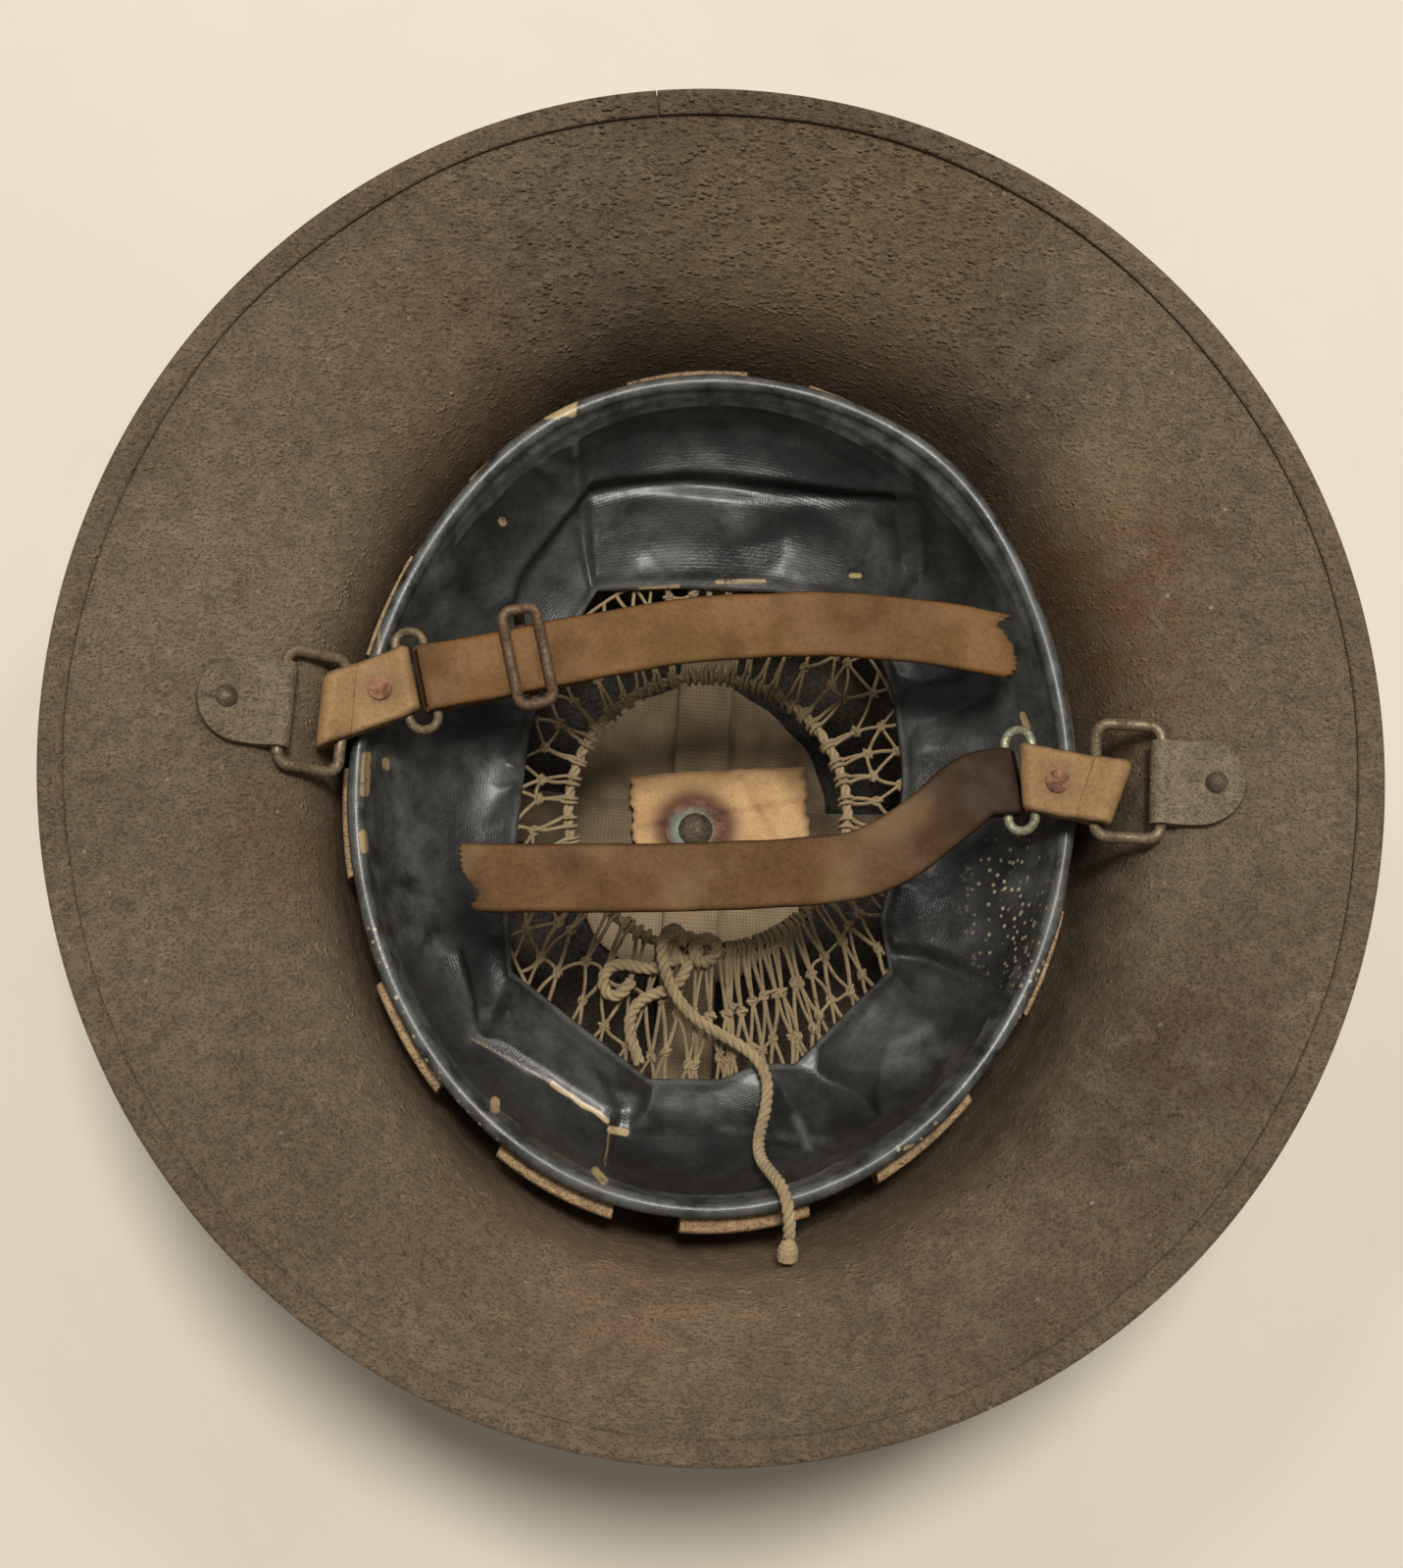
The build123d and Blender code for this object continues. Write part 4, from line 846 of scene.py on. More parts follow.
def make_oilcloth():
    """Inner face from the opening up to the roll, round the roll and down the back, one grid round the bowl.

    Across: the opening's edge plus the skirt's share of the way to the roll. Up: its share of the height. Facets
    and small ripples push the inner face along its own normal, and the roll stands out a little at its corners.
    """
    columns, rows, back_rows = 840, 84, 8
    angle = np.linspace(0, TURN, columns, endpoint=False)
    low = opening_edge(angle)
    round_way = np.stack([np.cos(angle), np.sin(angle)], 1)
    bulge = sum(out * np.exp(-(((angle - math.radians(at) + math.pi) % TURN - math.pi) / wide) ** 2)
                for at, out, wide in ROLL_CORNERS)[:, None]
    high = LINER_MIDDLE + round_way * (ROLL_HALF - CLOTH)
    t = np.linspace(0, 1, rows)
    skirt = through(SKIRT_SHARES, 12)
    out, up = np.interp(t, skirt[:, 0], skirt[:, 1]), np.interp(t, skirt[:, 0], skirt[:, 2])
    flat = low[None] + (high - low)[None] * out[:, None, None]
    flat = flat + (round_way * bulge)[None] * ease((up - 0.93) / 0.07)[:, None, None]
    height = OPENING_HEIGHT + CLOTH + up * (ROLL_HEIGHT - OPENING_HEIGHT - CLOTH)
    inner = raised(flat, height[:, None])
    across = np.gradient(inner, axis=0)
    around = np.roll(inner, -1, 1) - np.roll(inner, 1, 1)
    normal = np.cross(around, across)
    normal /= np.linalg.norm(normal, axis=-1, keepdims=True)
    normal *= np.sign(normal[..., 2:3] + 1e-9)
    spots = in_photo(inner)
    lift = softened(facets(spots, [spots[2, ::10], spots[-4, ::10]]), 3) + 0.5
    lift = lift + 0.16 * ripple(inner, 13.0, 5) - 0.22 * np.abs(ripple(inner, 30.0, 6))
    fade = ease(t / 0.06)[:, None] * ease((1 - t) / 0.22)[:, None]
    inner = inner + normal * np.maximum(lift * fade, -0.25)[..., None]
    roll_angle = np.linspace(math.radians(186), math.radians(-40), 13)
    middle = LINER_MIDDLE + round_way * (ROLL_HALF + ROLL_RADIUS * 0.55 + bulge)
    uneven = 1.0 + 0.10 * ripple(np.stack([middle[:, 0], middle[:, 1]], 1), 24.0, 8)
    roll_out = -np.cos(roll_angle + math.pi)[:, None] * ROLL_RADIUS * uneven
    roll = middle[None] + round_way[None] * roll_out[..., None]
    roll_up = ROLL_HEIGHT + np.sin(roll_angle)[:, None] * ROLL_RADIUS * uneven
    roll = raised(roll, roll_up)
    back_t = np.linspace(1, 0, back_rows)
    back_share = np.interp(back_t, t, up)
    top = LINER_MIDDLE + round_way * ROLL_HALF
    back = low[None] + (top - low)[None] * np.interp(back_t, t, out)[:, None, None]
    back = back + (round_way * bulge)[None] * ease((back_share - 0.93) / 0.07)[:, None, None]
    back_up = back_share * (ROLL_HEIGHT - OPENING_HEIGHT) + OPENING_HEIGHT
    back = raised(back, back_up[:, None])
    grid = np.concatenate([inner, roll, back])
    run = run_along(grid[:, 0])
    uv = texture_spots(angle[None] * 90.0, run[:, None]) * METRE
    obj = grid_surface("oilcloth_liner", grid, close_rows=True, close_columns=True, uv=uv)
    spots = in_photo(grid).reshape(-1, 2)
    # The roll's rows carry wear and a painted highlight; the opening's edge carries wear.
    edge = np.zeros(grid.shape[:2])
    edge[rows - 9:rows + 9] = 0.85
    edge[:3] = 0.5
    # Values for the finish: bare and flecks are marks on the cloth, and worn is wear together with painted light.
    for name, strokes, extra in (("bare", BARE, 0.0), ("worn", WEAR_AND_LIGHT, edge.ravel()), ("flecks", FLECKS, 0.0)):
        value = extra * np.ones(len(spots))
        for line, width, strength in strokes:
            value = np.maximum(value, strength * stroke(spots, line, width))
        add_value(obj, name, value)
    outward(obj)
    finish_piece(obj, MATERIALS["oilcloth"], "helmet", "oilcloth", "oilcloth")
    return obj


# Net and drawstring

RING_MIDDLE = vec(1.0, -6.5)
RING_RADIUS, RING_CORD = 35.0, 1.6
NET_LEVEL = 49.0
TWINE = 0.5
NET_KNOTS = 54


def net_spot(angle, share, lift=0.0):
    """A point of the net by angle and by its share of the way from the ring to its outer edge."""
    angle = np.asarray(angle, dtype=float)
    way = np.stack([np.cos(angle), np.sin(angle)], -1)
    near = RING_MIDDLE + way * (RING_RADIUS + 1.0)
    far = OPENING_MIDDLE + way * vec(54.0, 67.0)
    flat = near + (far - near) * np.asarray(share)[..., None]
    return raised(flat, NET_LEVEL + np.asarray(lift, dtype=float))


def net_strands():
    """Two rows of knots between the ring and the edge: pairs of legs both ways, and slack runs between knots.

    Angles crowd towards the knot and the far side, where the net is gathered.
    """
    rng = np.random.default_rng(11)
    count = NET_KNOTS
    even_turn = np.linspace(0, TURN, 720)
    crowd = 1 + 1.5 * np.exp(-((even_turn - math.radians(290)) / 0.5) ** 2) + 0.5 * np.exp(
        -((even_turn - math.radians(90)) / 0.5) ** 2)
    total = np.concatenate([[0], np.cumsum(crowd)])[:-1]
    angles = np.interp(np.arange(count) / count * total[-1], total, even_turn) + rng.uniform(-0.02, 0.02, count)
    made = []

    def leg(a, b, bow=0.4):
        """A run between two points with a small bow to one side and up."""
        side = rng.uniform(-bow, bow, 3) * vec(1, 1, 0.6)
        middle = (a + b) / 2 + side
        made.append((through([a, middle, b], 4), TWINE * rng.uniform(0.85, 1.1), False))

    def knot(at, size=1.0):
        """A small tight loop with two ends standing out."""
        turn = rng.uniform(0, TURN)
        t = np.linspace(0, TURN, 9)[:-1]
        ring = at + np.stack([np.cos(t + turn), np.sin(t + turn), 0.5 * np.sin(2 * t)], 1) * size
        made.append((ring, TWINE * 0.95, True))
        way = vec(math.cos(turn), math.sin(turn), rng.uniform(0, 0.5))
        made.append((through([at - way * 1.5, at + vec(0, 0, 0.6), at + way * 1.6], 3), TWINE * 0.9, False))

    first = angles + rng.uniform(-0.03, 0.03, count)
    first_share = 0.40 + rng.uniform(-0.05, 0.05, count)
    second = angles + np.diff(np.append(angles, angles[0] + TURN)) * 0.5 + rng.uniform(-0.03, 0.03, count)
    second_share = 0.74 + rng.uniform(-0.06, 0.05, count)
    k1, k2 = net_spot(first, first_share, 0.2), net_spot(second, second_share, 0.2)
    for i in range(count):
        j = (i + 1) % count
        knot(k1[i])
        knot(k2[i], 0.9)
        splay = rng.uniform(0.012, 0.035)
        for sign in (-1, 1):
            leg(net_spot(angles[i] + sign * splay, 0.0, 1.2), k1[i])
        leg(k1[i], k2[i], 0.6)
        leg(k1[j], k2[i], 0.6)
        if rng.uniform() < 0.45:
            leg(k1[i], k1[j], 1.4)
        if rng.uniform() < 0.35:
            leg(k2[i], k2[j], 1.4)
        for sign in (-1, 1):
            leg(k2[i], net_spot(second[i] + sign * rng.uniform(0.02, 0.05), 1.0, -0.3))
        for sign in (-1, 1):
            place = angles[i] + sign * splay
            t = np.linspace(0, TURN, 13)[:-1]
            wound = RING_CORD + TWINE * 0.7
            turned = place + 0.012 * np.sin(t)
            outwards = np.stack([np.cos(turned), np.sin(turned)], 1)
            round_ring = RING_MIDDLE + outwards * (RING_RADIUS + wound * np.cos(t))[:, None]
            made.append((raised(round_ring, NET_LEVEL + wound * np.sin(t)), TWINE, True))
    edge_angle = np.linspace(0, TURN, 181)[:-1]
    made.append((net_spot(edge_angle, 1.0, -0.4 + 0.2 * np.sin(edge_angle * 40)), TWINE, True))
    return made


def spline_points(route, count):
    """Evenly spaced points of a NURBS spline whose control points are the route, in mm."""
    data = bpy.data.curves.new("route", "CURVE")
    data.dimensions = "3D"
    data.resolution_u = 24
    spline = data.splines.new("NURBS")
    spline.points.add(len(route) - 1)
    for point, at in zip(spline.points, route):
        point.co = (*(c * METRE for c in at), 1.0)
    spline.order_u = 3
    spline.use_endpoint_u = True
    carrier = bpy.data.objects.new("route", data)
    bpy.context.collection.objects.link(carrier)
    mesh = bpy.data.meshes.new_from_object(carrier)
    line = np.array([v.co[:] for v in mesh.vertices]) / METRE
    bpy.data.meshes.remove(mesh)
    bpy.data.objects.remove(carrier)
    bpy.data.curves.remove(data)
    return even(line, count)


CORD_RADIUS = 1.5
TAIL_ROUTE = [
    (-3.6, -40.4, 53.2), (-4.2, -37.8, 57.0), (-7.0, -37.6, 60.0), (-9.0, -41.0, 60.4), (-8.4, -45.4, 59.0),
    (-6.6, -50.2, 57.2), (-3.2, -55.2, 56.0), (1.0, -58.9, 55.2), (6.2, -61.6, 54.6), (11.8, -64.0, 54.3),
    (16.6, -67.2, 55.0), (19.2, -72.4, 56.6), (18.8, -79.4, 59.0), (16.9, -86.0, 63.2), (16.8, -91.0, 70.0),
    (18.8, -94.2, 78.0), (21.0, -97.2, 85.0), (22.2, -101.2, 87.0), (22.9, -105.2, 86.6), (23.0, -108.2, 85.2),
]
CURL_ROUTE = [
    (-4.6, -43.9, 52.8), (-7.8, -46.4, 52.5), (-12.0, -47.3, 52.3), (-16.8, -46.2, 52.3), (-20.8, -47.0, 52.3),
    (-22.6, -50.8, 52.3), (-20.6, -54.6, 52.6), (-17.0, -53.8, 53.5), (-15.4, -50.4, 53.9),
]
SHORT_ROUTE = [
    (-1.6, -44.3, 52.8), (-2.6, -48.6, 52.5), (-5.6, -51.8, 52.4), (-9.8, -53.0, 52.3), (-13.4, -55.4, 52.3),
    (-15.2, -59.4, 52.3), (-14.6, -63.8, 52.3), (-12.9, -67.6, 52.4), (-11.9, -70.2, 52.5),
]


def make_free_cord(name, node, route):
    """A laid cord of three strands that follows the route's spline."""
    line = spline_points(route, 40 + 6 * len(route))
    obj = strands(name, laid_cord(line, CORD_RADIUS, 6.5), 8)
    finish_piece(obj, MATERIALS["cord"], "helmet", "cord_cotton", node)
    return obj


def make_end_knot():
    """The whipped end: a round body along the tail's last run with bound turns and a frayed rim."""
    end, before = vec(*TAIL_ROUTE[-1]), vec(*TAIL_ROUTE[-2])
    along = (end - before) / np.linalg.norm(end - before)
    side = np.cross(along, vec(0, 0, 1))
    side /= np.linalg.norm(side)
    up = np.cross(side, along)
    t = np.linspace(0, 1, 30)
    angle = np.linspace(0, TURN, 28, endpoint=False)
    swell = 2.45 * np.sin(t * math.pi * 0.5 + 0.35) * np.where(t > 0.93, (1 - t) / 0.07 * 0.4 + 0.6, 1)
    swell = np.minimum(swell, 2.3)
    bound = 1 + 0.05 * np.sin(t * TURN * 6)[:, None] * (t < 0.55)[:, None]
    frayed = 1 + 0.06 * np.sin(angle * 9 + t[:, None] * 3)
    radius = swell[:, None] * bound * frayed
    ring = side * np.cos(angle)[:, None] + up * np.sin(angle)[:, None]
    grid = (end + along * (t[:, None] * 5.8))[:, None] + ring[None] * radius[..., None]
    uv = texture_spots(t[:, None] * 0.6, angle[None] / TURN)
    obj = outward(grid_surface("whipped_end", grid, close_columns=True, caps=0, uv=uv))
    return finish_piece(obj, MATERIALS["cord"], "helmet", "cord_cotton", "drawstring_end_knot")


def make_ring_and_knot():
    """The gathered ring of laid cord, and the knot's turns and hump."""
    t = np.linspace(0, TURN, 241)[:-1]
    line = np.stack([RING_MIDDLE[0] + RING_RADIUS * np.cos(t), RING_MIDDLE[1] + RING_RADIUS * np.sin(t),
                     NET_LEVEL + 0.25 * np.sin(3 * t)], 1)
    ring = strands("gathered_ring", laid_cord(line, RING_CORD * 0.85, 9.0, True), 8)
    finish_piece(ring, MATERIALS["cord"], "helmet", "cord_cotton", "drawstring_ring")
    middle = vec(-0.3, -41.6, 52.6)
    pieces = []
    for spread_out, tilt, phase in ((-2.4, 4.0, 0.0), (2.4, 22.0, 0.8)):
        u = np.linspace(0, TURN, 61)[:-1]
        flat = np.stack([np.cos(u) * 3.0, np.sin(u + phase * 0.2) * 3.0, 0.5 * np.sin(2 * u + phase)], 1)
        lean = math.radians(tilt)
        turned = np.stack([flat[:, 0] * math.cos(lean) + flat[:, 2] * math.sin(lean), flat[:, 1],
                           -flat[:, 0] * math.sin(lean) + flat[:, 2] * math.cos(lean)], 1)
        pieces += laid_cord(middle + vec(spread_out, 0, 0) + turned, 1.6, 6.2, True)
    knot = strands("drawn_knot", pieces, 8)
    finish_piece(knot, MATERIALS["cord"], "helmet", "cord_cotton", "drawstring_knot")


def make_net():
    """All the net's twine as one piece."""
    obj = strands("twine_net", net_strands(), 5)
    return finish_piece(obj, MATERIALS["twine"], "helmet", "net_twine", "net")


# Leather chains

class Axes:
    """A piece's own axes: origin in mm, and x, y and z directions from a turn in plan and a droop."""

    def __init__(self, origin, x, y):
        self.origin, self.x, self.y = vec(*origin), vec(*x), vec(*y)
        self.z = np.cross(self.x, self.y)

    def world(self, points):
        """Local points in the part's frame."""
        return self.origin + points @ np.stack([self.x, self.y, self.z])


CHAIN = {
    "left_loop": Axes((-86.8097, 5.2, 86.6279), (0.87838, 0.45725, -0.13917), (-0.46175, 0.88701, 0.0)),
    "left_eye": Axes((-74.2489, 11.7387, 84.6377), (0.95191, 0.27295, -0.13917), (-0.27564, 0.96126, 0.0)),
    "left_strap": Axes((-67.8711, 13.5675, 83.7053), (0.96126, 0.27564, 0.0), (-0.27564, 0.96126, 0.0)),
    "right_loop": Axes((87.5833, -2.6, 92.4331), (-0.9661, 0.15302, -0.20791), (-0.15643, -0.98769, 0.0)),
    "right_eye": Axes((73.768, -0.4119, 89.4599), (-0.97443, -0.08525, -0.20791), (0.08716, -0.99619, 0.0)),
    "right_strap": Axes((68.3005, -0.8902, 85.617), (-0.99619, -0.08716, 0.0), (0.08716, -0.99619, 0.0)),
}
LEATHER = 1.9
STRAP_WIDTH = 16.0
WIRE_EYE = 1.18
# A loop's length between its folds, its bail's wire and play in radius, and how far back its bail's fold lies
LOOP_SPAN, BAIL_WIRE, BAIL_PLAY, BAIL_FOLD = 14.3, 1.35, 0.45, 2.6
LOOP_RIVET = 8.6
# How far the torn ends reach and how far they are drawn back, over the strap's last stretch
TEAR_REACH, TEAR_BACK, TEAR_STRETCH = 4.0, 3.2, 16.0


def oblong(count=25):
    """A closed section of a strip: across evenly from edge to edge on top and back below, -0.5 to 0.5, and up by
    half the root of 1 - |2 across|^12, so that the faces are flat and the edges round."""
    top = np.linspace(-0.5, 0.5, count)
    across = np.concatenate([top, top[-2:0:-1]])
    sign = np.concatenate([np.ones(count), -np.ones(count - 2)])
    return across, sign * 0.5 * np.sqrt(1 - np.abs(2 * across) ** 12)


def strip_grid(middle, side, face, width, thickness):
    """A strip's section carried along a line, its width along side and its thickness along face."""
    across, up = oblong()
    width = np.broadcast_to(np.asarray(width, dtype=float), (len(middle),))[:, None, None]
    return (middle[:, None] + side[:, None] * (across[None, :, None] * width)
            + face[:, None] * (up[None, :, None] * thickness)), across


def make_strap(name, node, route, length, doubled, tear, slot, material, dark, seed):
    """A strap of one strip: in under the ring, round its bar, and back on top to the torn end.

    The line's plan is a smooth curve through the route; its height is half the leather under or over the middle,
    joined round the bar by an arc, and the far end sags a little. The tear moves the last rows by its own curve.
    Dark gives stretches of darker leather: where along it, how long, and how strong.
    """
    plan = through([(x * length, y * length) for x, y in route], 16)
    plan = even(plan, 220)
    run = np.linspace(0, np.linalg.norm(np.diff(plan, axis=0), axis=1).sum(), 220)
    bend = WIRE_EYE + LEATHER / 2
    out = np.linspace(doubled, 5.0, 24)
    turn = np.linspace(-math.pi / 2, -3 * math.pi / 2, 15)
    back = np.linspace(5.0, run[-1], 190)
    reach = np.concatenate([out, np.cos(turn) * bend, back])
    lift = np.concatenate([np.full(24, -LEATHER / 2), np.sin(turn) * bend, np.full(190, LEATHER / 2)])
    near = np.concatenate([ease((5.0 + 6.0 - out) / 6.0), np.ones(15), ease((11.0 - back) / 6.0)])
    lift = np.where(np.abs(lift) <= LEATHER / 2, np.sign(lift) * (LEATHER / 2 + near * 0.5), lift)
    x = np.interp(np.maximum(reach, 0), run, plan[:, 0]) + np.minimum(reach, 0)
    y = np.interp(np.maximum(reach, 0), run, plan[:, 1])
    wave = ripple(reach[:, None], 40.0, seed) * 0.35 * ease(reach / 30.0) - ease(reach / run[-1]) ** 2
    middle = np.stack([x, y, lift + wave * (lift > 0)], 1)
    way = slopes(middle)
    plan_way = np.stack([np.interp(np.maximum(reach, 0), run, np.gradient(plan[:, k])) for k in (0, 1)], 1)
    side = np.stack([-plan_way[:, 1], plan_way[:, 0], np.zeros(len(middle))], 1)
    side /= np.linalg.norm(side, axis=1, keepdims=True)
    face = np.cross(way, side)
    face /= np.linalg.norm(face, axis=1, keepdims=True)
    width = STRAP_WIDTH * (1 + 0.012 * ripple(reach[:, None], 18.0, seed + 1))
    grid, across = strip_grid(middle, side, face, width, LEATHER * 0.94)
    torn = np.interp(across, [p[1] for p in tear], [p[0] for p in tear]) * TEAR_REACH - TEAR_BACK
    torn = torn + 0.5 * np.sin(across * 71) + 0.3 * np.sin(across * 167)
    last = ease((reach - (run[-1] - TEAR_STRETCH)) / TEAR_STRETCH) * (np.arange(len(reach)) > 60)
    end_way = np.append((plan[-1] - plan[-4]) / np.linalg.norm(plan[-1] - plan[-4]), 0.0)
    grid = grid + end_way * (torn[None, :] * last[:, None])[..., None]
    uv = texture_spots(np.arange(len(reach))[:, None] * 0.0007, across[None] * 0.016)
    obj = grid_surface(name, CHAIN[node].world(grid), close_columns=True, caps=0, uv=uv)
    outward(obj)
    edge = ease((np.abs(across) - 0.43) / 0.06)[None] * np.ones((len(reach), 1))
    blot = ease(ripple(grid, 22.0, seed + 2) * 1.2 - 0.35)
    near_eye = np.exp(-(np.maximum(reach, 0) / 7.0) ** 2)[:, None]
    end_dark = ease((reach - run[-1] + 5.0) / 5.0)[:, None]
    darker = sum(much * np.exp(-((reach - at) / wide) ** 2) for at, wide, much in dark)[:, None]
    stain = np.maximum.reduce(np.broadcast_arrays(edge * 0.55, blot * 0.35, near_eye * 0.5, end_dark * 0.5, darker))
    add_value(obj, "stain", stain)
    pale = ease(ripple(grid, 30.0, seed + 3) * 1.3 - 0.4) * 0.35
    add_value(obj, "pale", pale)
    return finish_piece(obj, MATERIALS[material], node, slot, node)


def make_loop(name, node, axes, eye, bar_turn, seed):
    """A leather strip folded loosely round the bail and closely round the ring, its two layers riveted.

    The line goes out on top, round the ring's bar, back below and round the bail's; both folds follow their own
    bar's direction, and the strip between them shears from one to the other.
    """
    wide_bend = BAIL_WIRE + BAIL_PLAY + LEATHER / 2
    small_bend = WIRE_EYE + LEATHER / 2
    half = LEATHER / 2
    top = np.stack([np.linspace(2.0, LOOP_SPAN - 2.2, 26), np.full(26, half)], 1)
    turn = np.linspace(math.pi * 0.42, -math.pi * 0.42, 13)
    near = np.stack([LOOP_SPAN + np.cos(turn) * small_bend, np.sin(turn) * small_bend], 1)
    bottom = top[::-1] * vec(1, -1)
    turn = np.linspace(-math.pi / 2 * 1.05, -math.pi * 3 / 2 * 0.98, 19)
    far = np.stack([np.cos(turn) * wide_bend - BAIL_FOLD, np.sin(turn) * wide_bend], 1)
    line = np.concatenate([top, near, bottom, far])
    line = np.concatenate([line[-1:], line])[:-1]
    closed = np.concatenate([line, line[:1]])
    closed = even(through(closed, 6), 151)[:-1]
    way = slopes(closed, True)
    face2 = np.stack([-way[:, 1], way[:, 0]], 1)
    across, up = oblong()
    y = across * STRAP_WIDTH
    ring_turn = math.atan2(eye.x @ axes.y, eye.x @ axes.x)
    share = ease(closed[:, 0] / LOOP_SPAN)[:, None]
    x = closed[:, 0][:, None] + face2[:, 0][:, None] * up[None] * LEATHER * 0.92
    z = closed[:, 1][:, None] + face2[:, 1][:, None] * up[None] * LEATHER * 0.92
    shear = (1 - share) * math.tan(bar_turn) - share * math.tan(ring_turn)
    x = x + shear * y[None]
    grid = np.stack([x, np.broadcast_to(y, x.shape), z], -1)
    rough = ripple(grid, 7.0, seed) * 0.16
    grid = grid + rough[..., None] * vec(0.6, 1.0, 0.5)
    uv = texture_spots(np.arange(len(closed))[:, None] * 0.0005, across[None] * 0.016)
    obj = grid_surface(name, axes.world(grid), close_rows=True, close_columns=True, uv=uv)
    outward(obj)
    edge = ease((np.abs(across) - 0.42) / 0.06)[None] * 0.6
    rivet = np.exp(-((grid[..., 0] - LOOP_RIVET) ** 2 + grid[..., 1] ** 2) / 26.0) * 0.55
    blot = ease(ripple(grid, 12.0, seed + 1) - 0.2) * 0.3
    add_value(obj, "stain", np.maximum(np.maximum(edge, rivet), blot))
    add_value(obj, "pale", ease(ripple(grid, 16.0, seed + 2) - 0.5) * 0.3)
    return finish_piece(obj, MATERIALS["tan"], node, "tan_leather", node)


# Rim strip

RIM_HALF = vec(148.72, 155.22)
RIM_LOW, RIM_TOP, RIM_FALL = 110.06, 112.12, 0.436
RIM_JOINT = (-26.0, 153.0)


def make_rim_strip():
    """A folded strip round the brim's edge: a thin U carried round an ellipse, from its joint round to its joint.

    A section point is given by how far in from the edge it is; both faces fall inwards as the brim does.
    """
    reach, gauge = 5.4, 0.6
    start = math.atan2(RIM_JOINT[1] / RIM_HALF[1], RIM_JOINT[0] / RIM_HALF[0])
    angle = start + np.linspace(0.0012, TURN - 0.0012, 901)
    inset = np.linspace(reach, 1.6, 7)
    low, top = RIM_LOW - RIM_FALL * inset, RIM_TOP - RIM_FALL * (inset - 1.02)
    outer = [*zip(inset, low), (0.5, RIM_LOW - 0.16), (0.12, RIM_LOW + 0.3), (0.0, RIM_LOW + 0.8),
             (0.12, RIM_TOP - 0.62), (0.5, RIM_TOP - 0.14), *zip(inset[::-1], top[::-1])]
    inner = [*zip(inset, low + gauge), (1.1, RIM_LOW + 0.4), (0.85, RIM_LOW + 0.7), (0.8, RIM_LOW + 1.0),
             (0.85, RIM_TOP - 0.9), (1.1, RIM_TOP - 0.7), *zip(inset[::-1], (top - gauge)[::-1])]
    section = np.array(outer + inner[::-1])
    way = np.stack([np.cos(angle), np.sin(angle)], 1)
    uneven = 0.20 * ripple(way, 0.5, 51)[:, None] * ease((section[:, 0] - 2.0) / 3.0)[None]
    flat = way[:, None] * (RIM_HALF - (section[None, :, 0] + uneven)[..., None])
    level = section[None, :, 1] + RIM_FALL * -uneven
    grid = raised(flat, level)
    uv = texture_spots(angle[:, None] * 0.15, np.arange(len(section))[None] * 0.0006)
    obj = outward(grid_surface("rim_strip", grid, close_columns=True, caps=-1, uv=uv))
    return finish_piece(obj, MATERIALS["edging"], "helmet", "shell_paint", "rim_edging")


# Crown: pad, straps, paper, band

CROWN = vec(0.0, -4.5)
PAD_RISE, PAD_RADIUS = 5.6, 36.0
PAD_LEVEL, PAD_THICKNESS = 2.5, 2.5
BAND_HALF = vec(83.8, 99.2)
# Half the band's joint, as an angle: 1.5 mm where the band is 98 mm out
BAND_GAP = 1.5 / 98.0
WEBBING_WIDTH, WEBBING_THICKNESS, WEBBING_TOP = 15.0, 1.6, 61.7
LABEL_MIDDLE, LABEL_HALF = vec(6.0, 3.0), vec(23.6, 10.6)
LABEL_TURN, LABEL_THICKNESS = math.radians(7.0), 0.3
# Rubber tubes: their number, the first one's direction and how far each reaches to both sides
TUBES, TUBE_FIRST, TUBE_REACH = 12, 9.0, math.radians(8.5)
# The half axes that their middles are placed on and those of their inner face, their depth outwards along X and Y,
# and their middle's height and half height
TUBE_PLACES = vec(84.6, 100.0)
TUBE_HALF, TUBE_DEPTH, TUBE_LEVEL, TUBE_HALF_HEIGHT = vec(84.7, 100.1), vec(2.8, 4.5), 71.75, 4.7


def make_crown_pad():
    """A felt disc dished like the crown: radius by angle, height by a power of the radius, with a worn rim."""
    low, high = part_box("crown_pad")
    half = vec(high[0] - low[0], high[1] - low[1]) / METRE / 2
    middle = vec(high[0] + low[0], high[1] + low[1]) / METRE / 2
    seen = PAD_RADIUS / half[0]
    r = seen * np.concatenate([np.linspace(0.07, 1.0, 44), [1.01, 1.01, 1.0], np.linspace(0.98, 0.07, 10)])
    angle = np.linspace(0, TURN, 144, endpoint=False)
    rim = 1 - 0.012 - 0.012 * np.sin(angle * 7 + 1) - 0.008 * np.sin(angle * 17)
    flat = middle + np.stack([np.cos(angle), np.sin(angle)], 1)[None] * half * (r[:, None] * rim[None])[..., None]
    rise = PAD_RISE * r ** 2.6
    top = np.concatenate([np.full(44, PAD_THICKNESS), [1.9, 0.9, 0.4], np.full(10, 0.25)])
    height = PAD_LEVEL + rise + top
    grid = raised(flat, height[:, None])
    fuzz = ripple(grid, 5.0, 31) * 0.10 * (top > 2)[:, None]
    grid[..., 2] += fuzz
    uv = grid[..., :2] * METRE
    obj = outward(grid_surface("felt_pad", grid, close_rows=True, close_columns=True, uv=uv))
    return finish_piece(obj, MATERIALS["felt"], "helmet", "dark_felt", "crown_pad")


CROWN_STRAP_SHARES = [(0.0, 0.0), (0.36, 0.04), (0.60, 0.155), (0.79, 0.34), (0.905, 0.57), (0.965, 0.81),
                      (0.995, 1.0)]


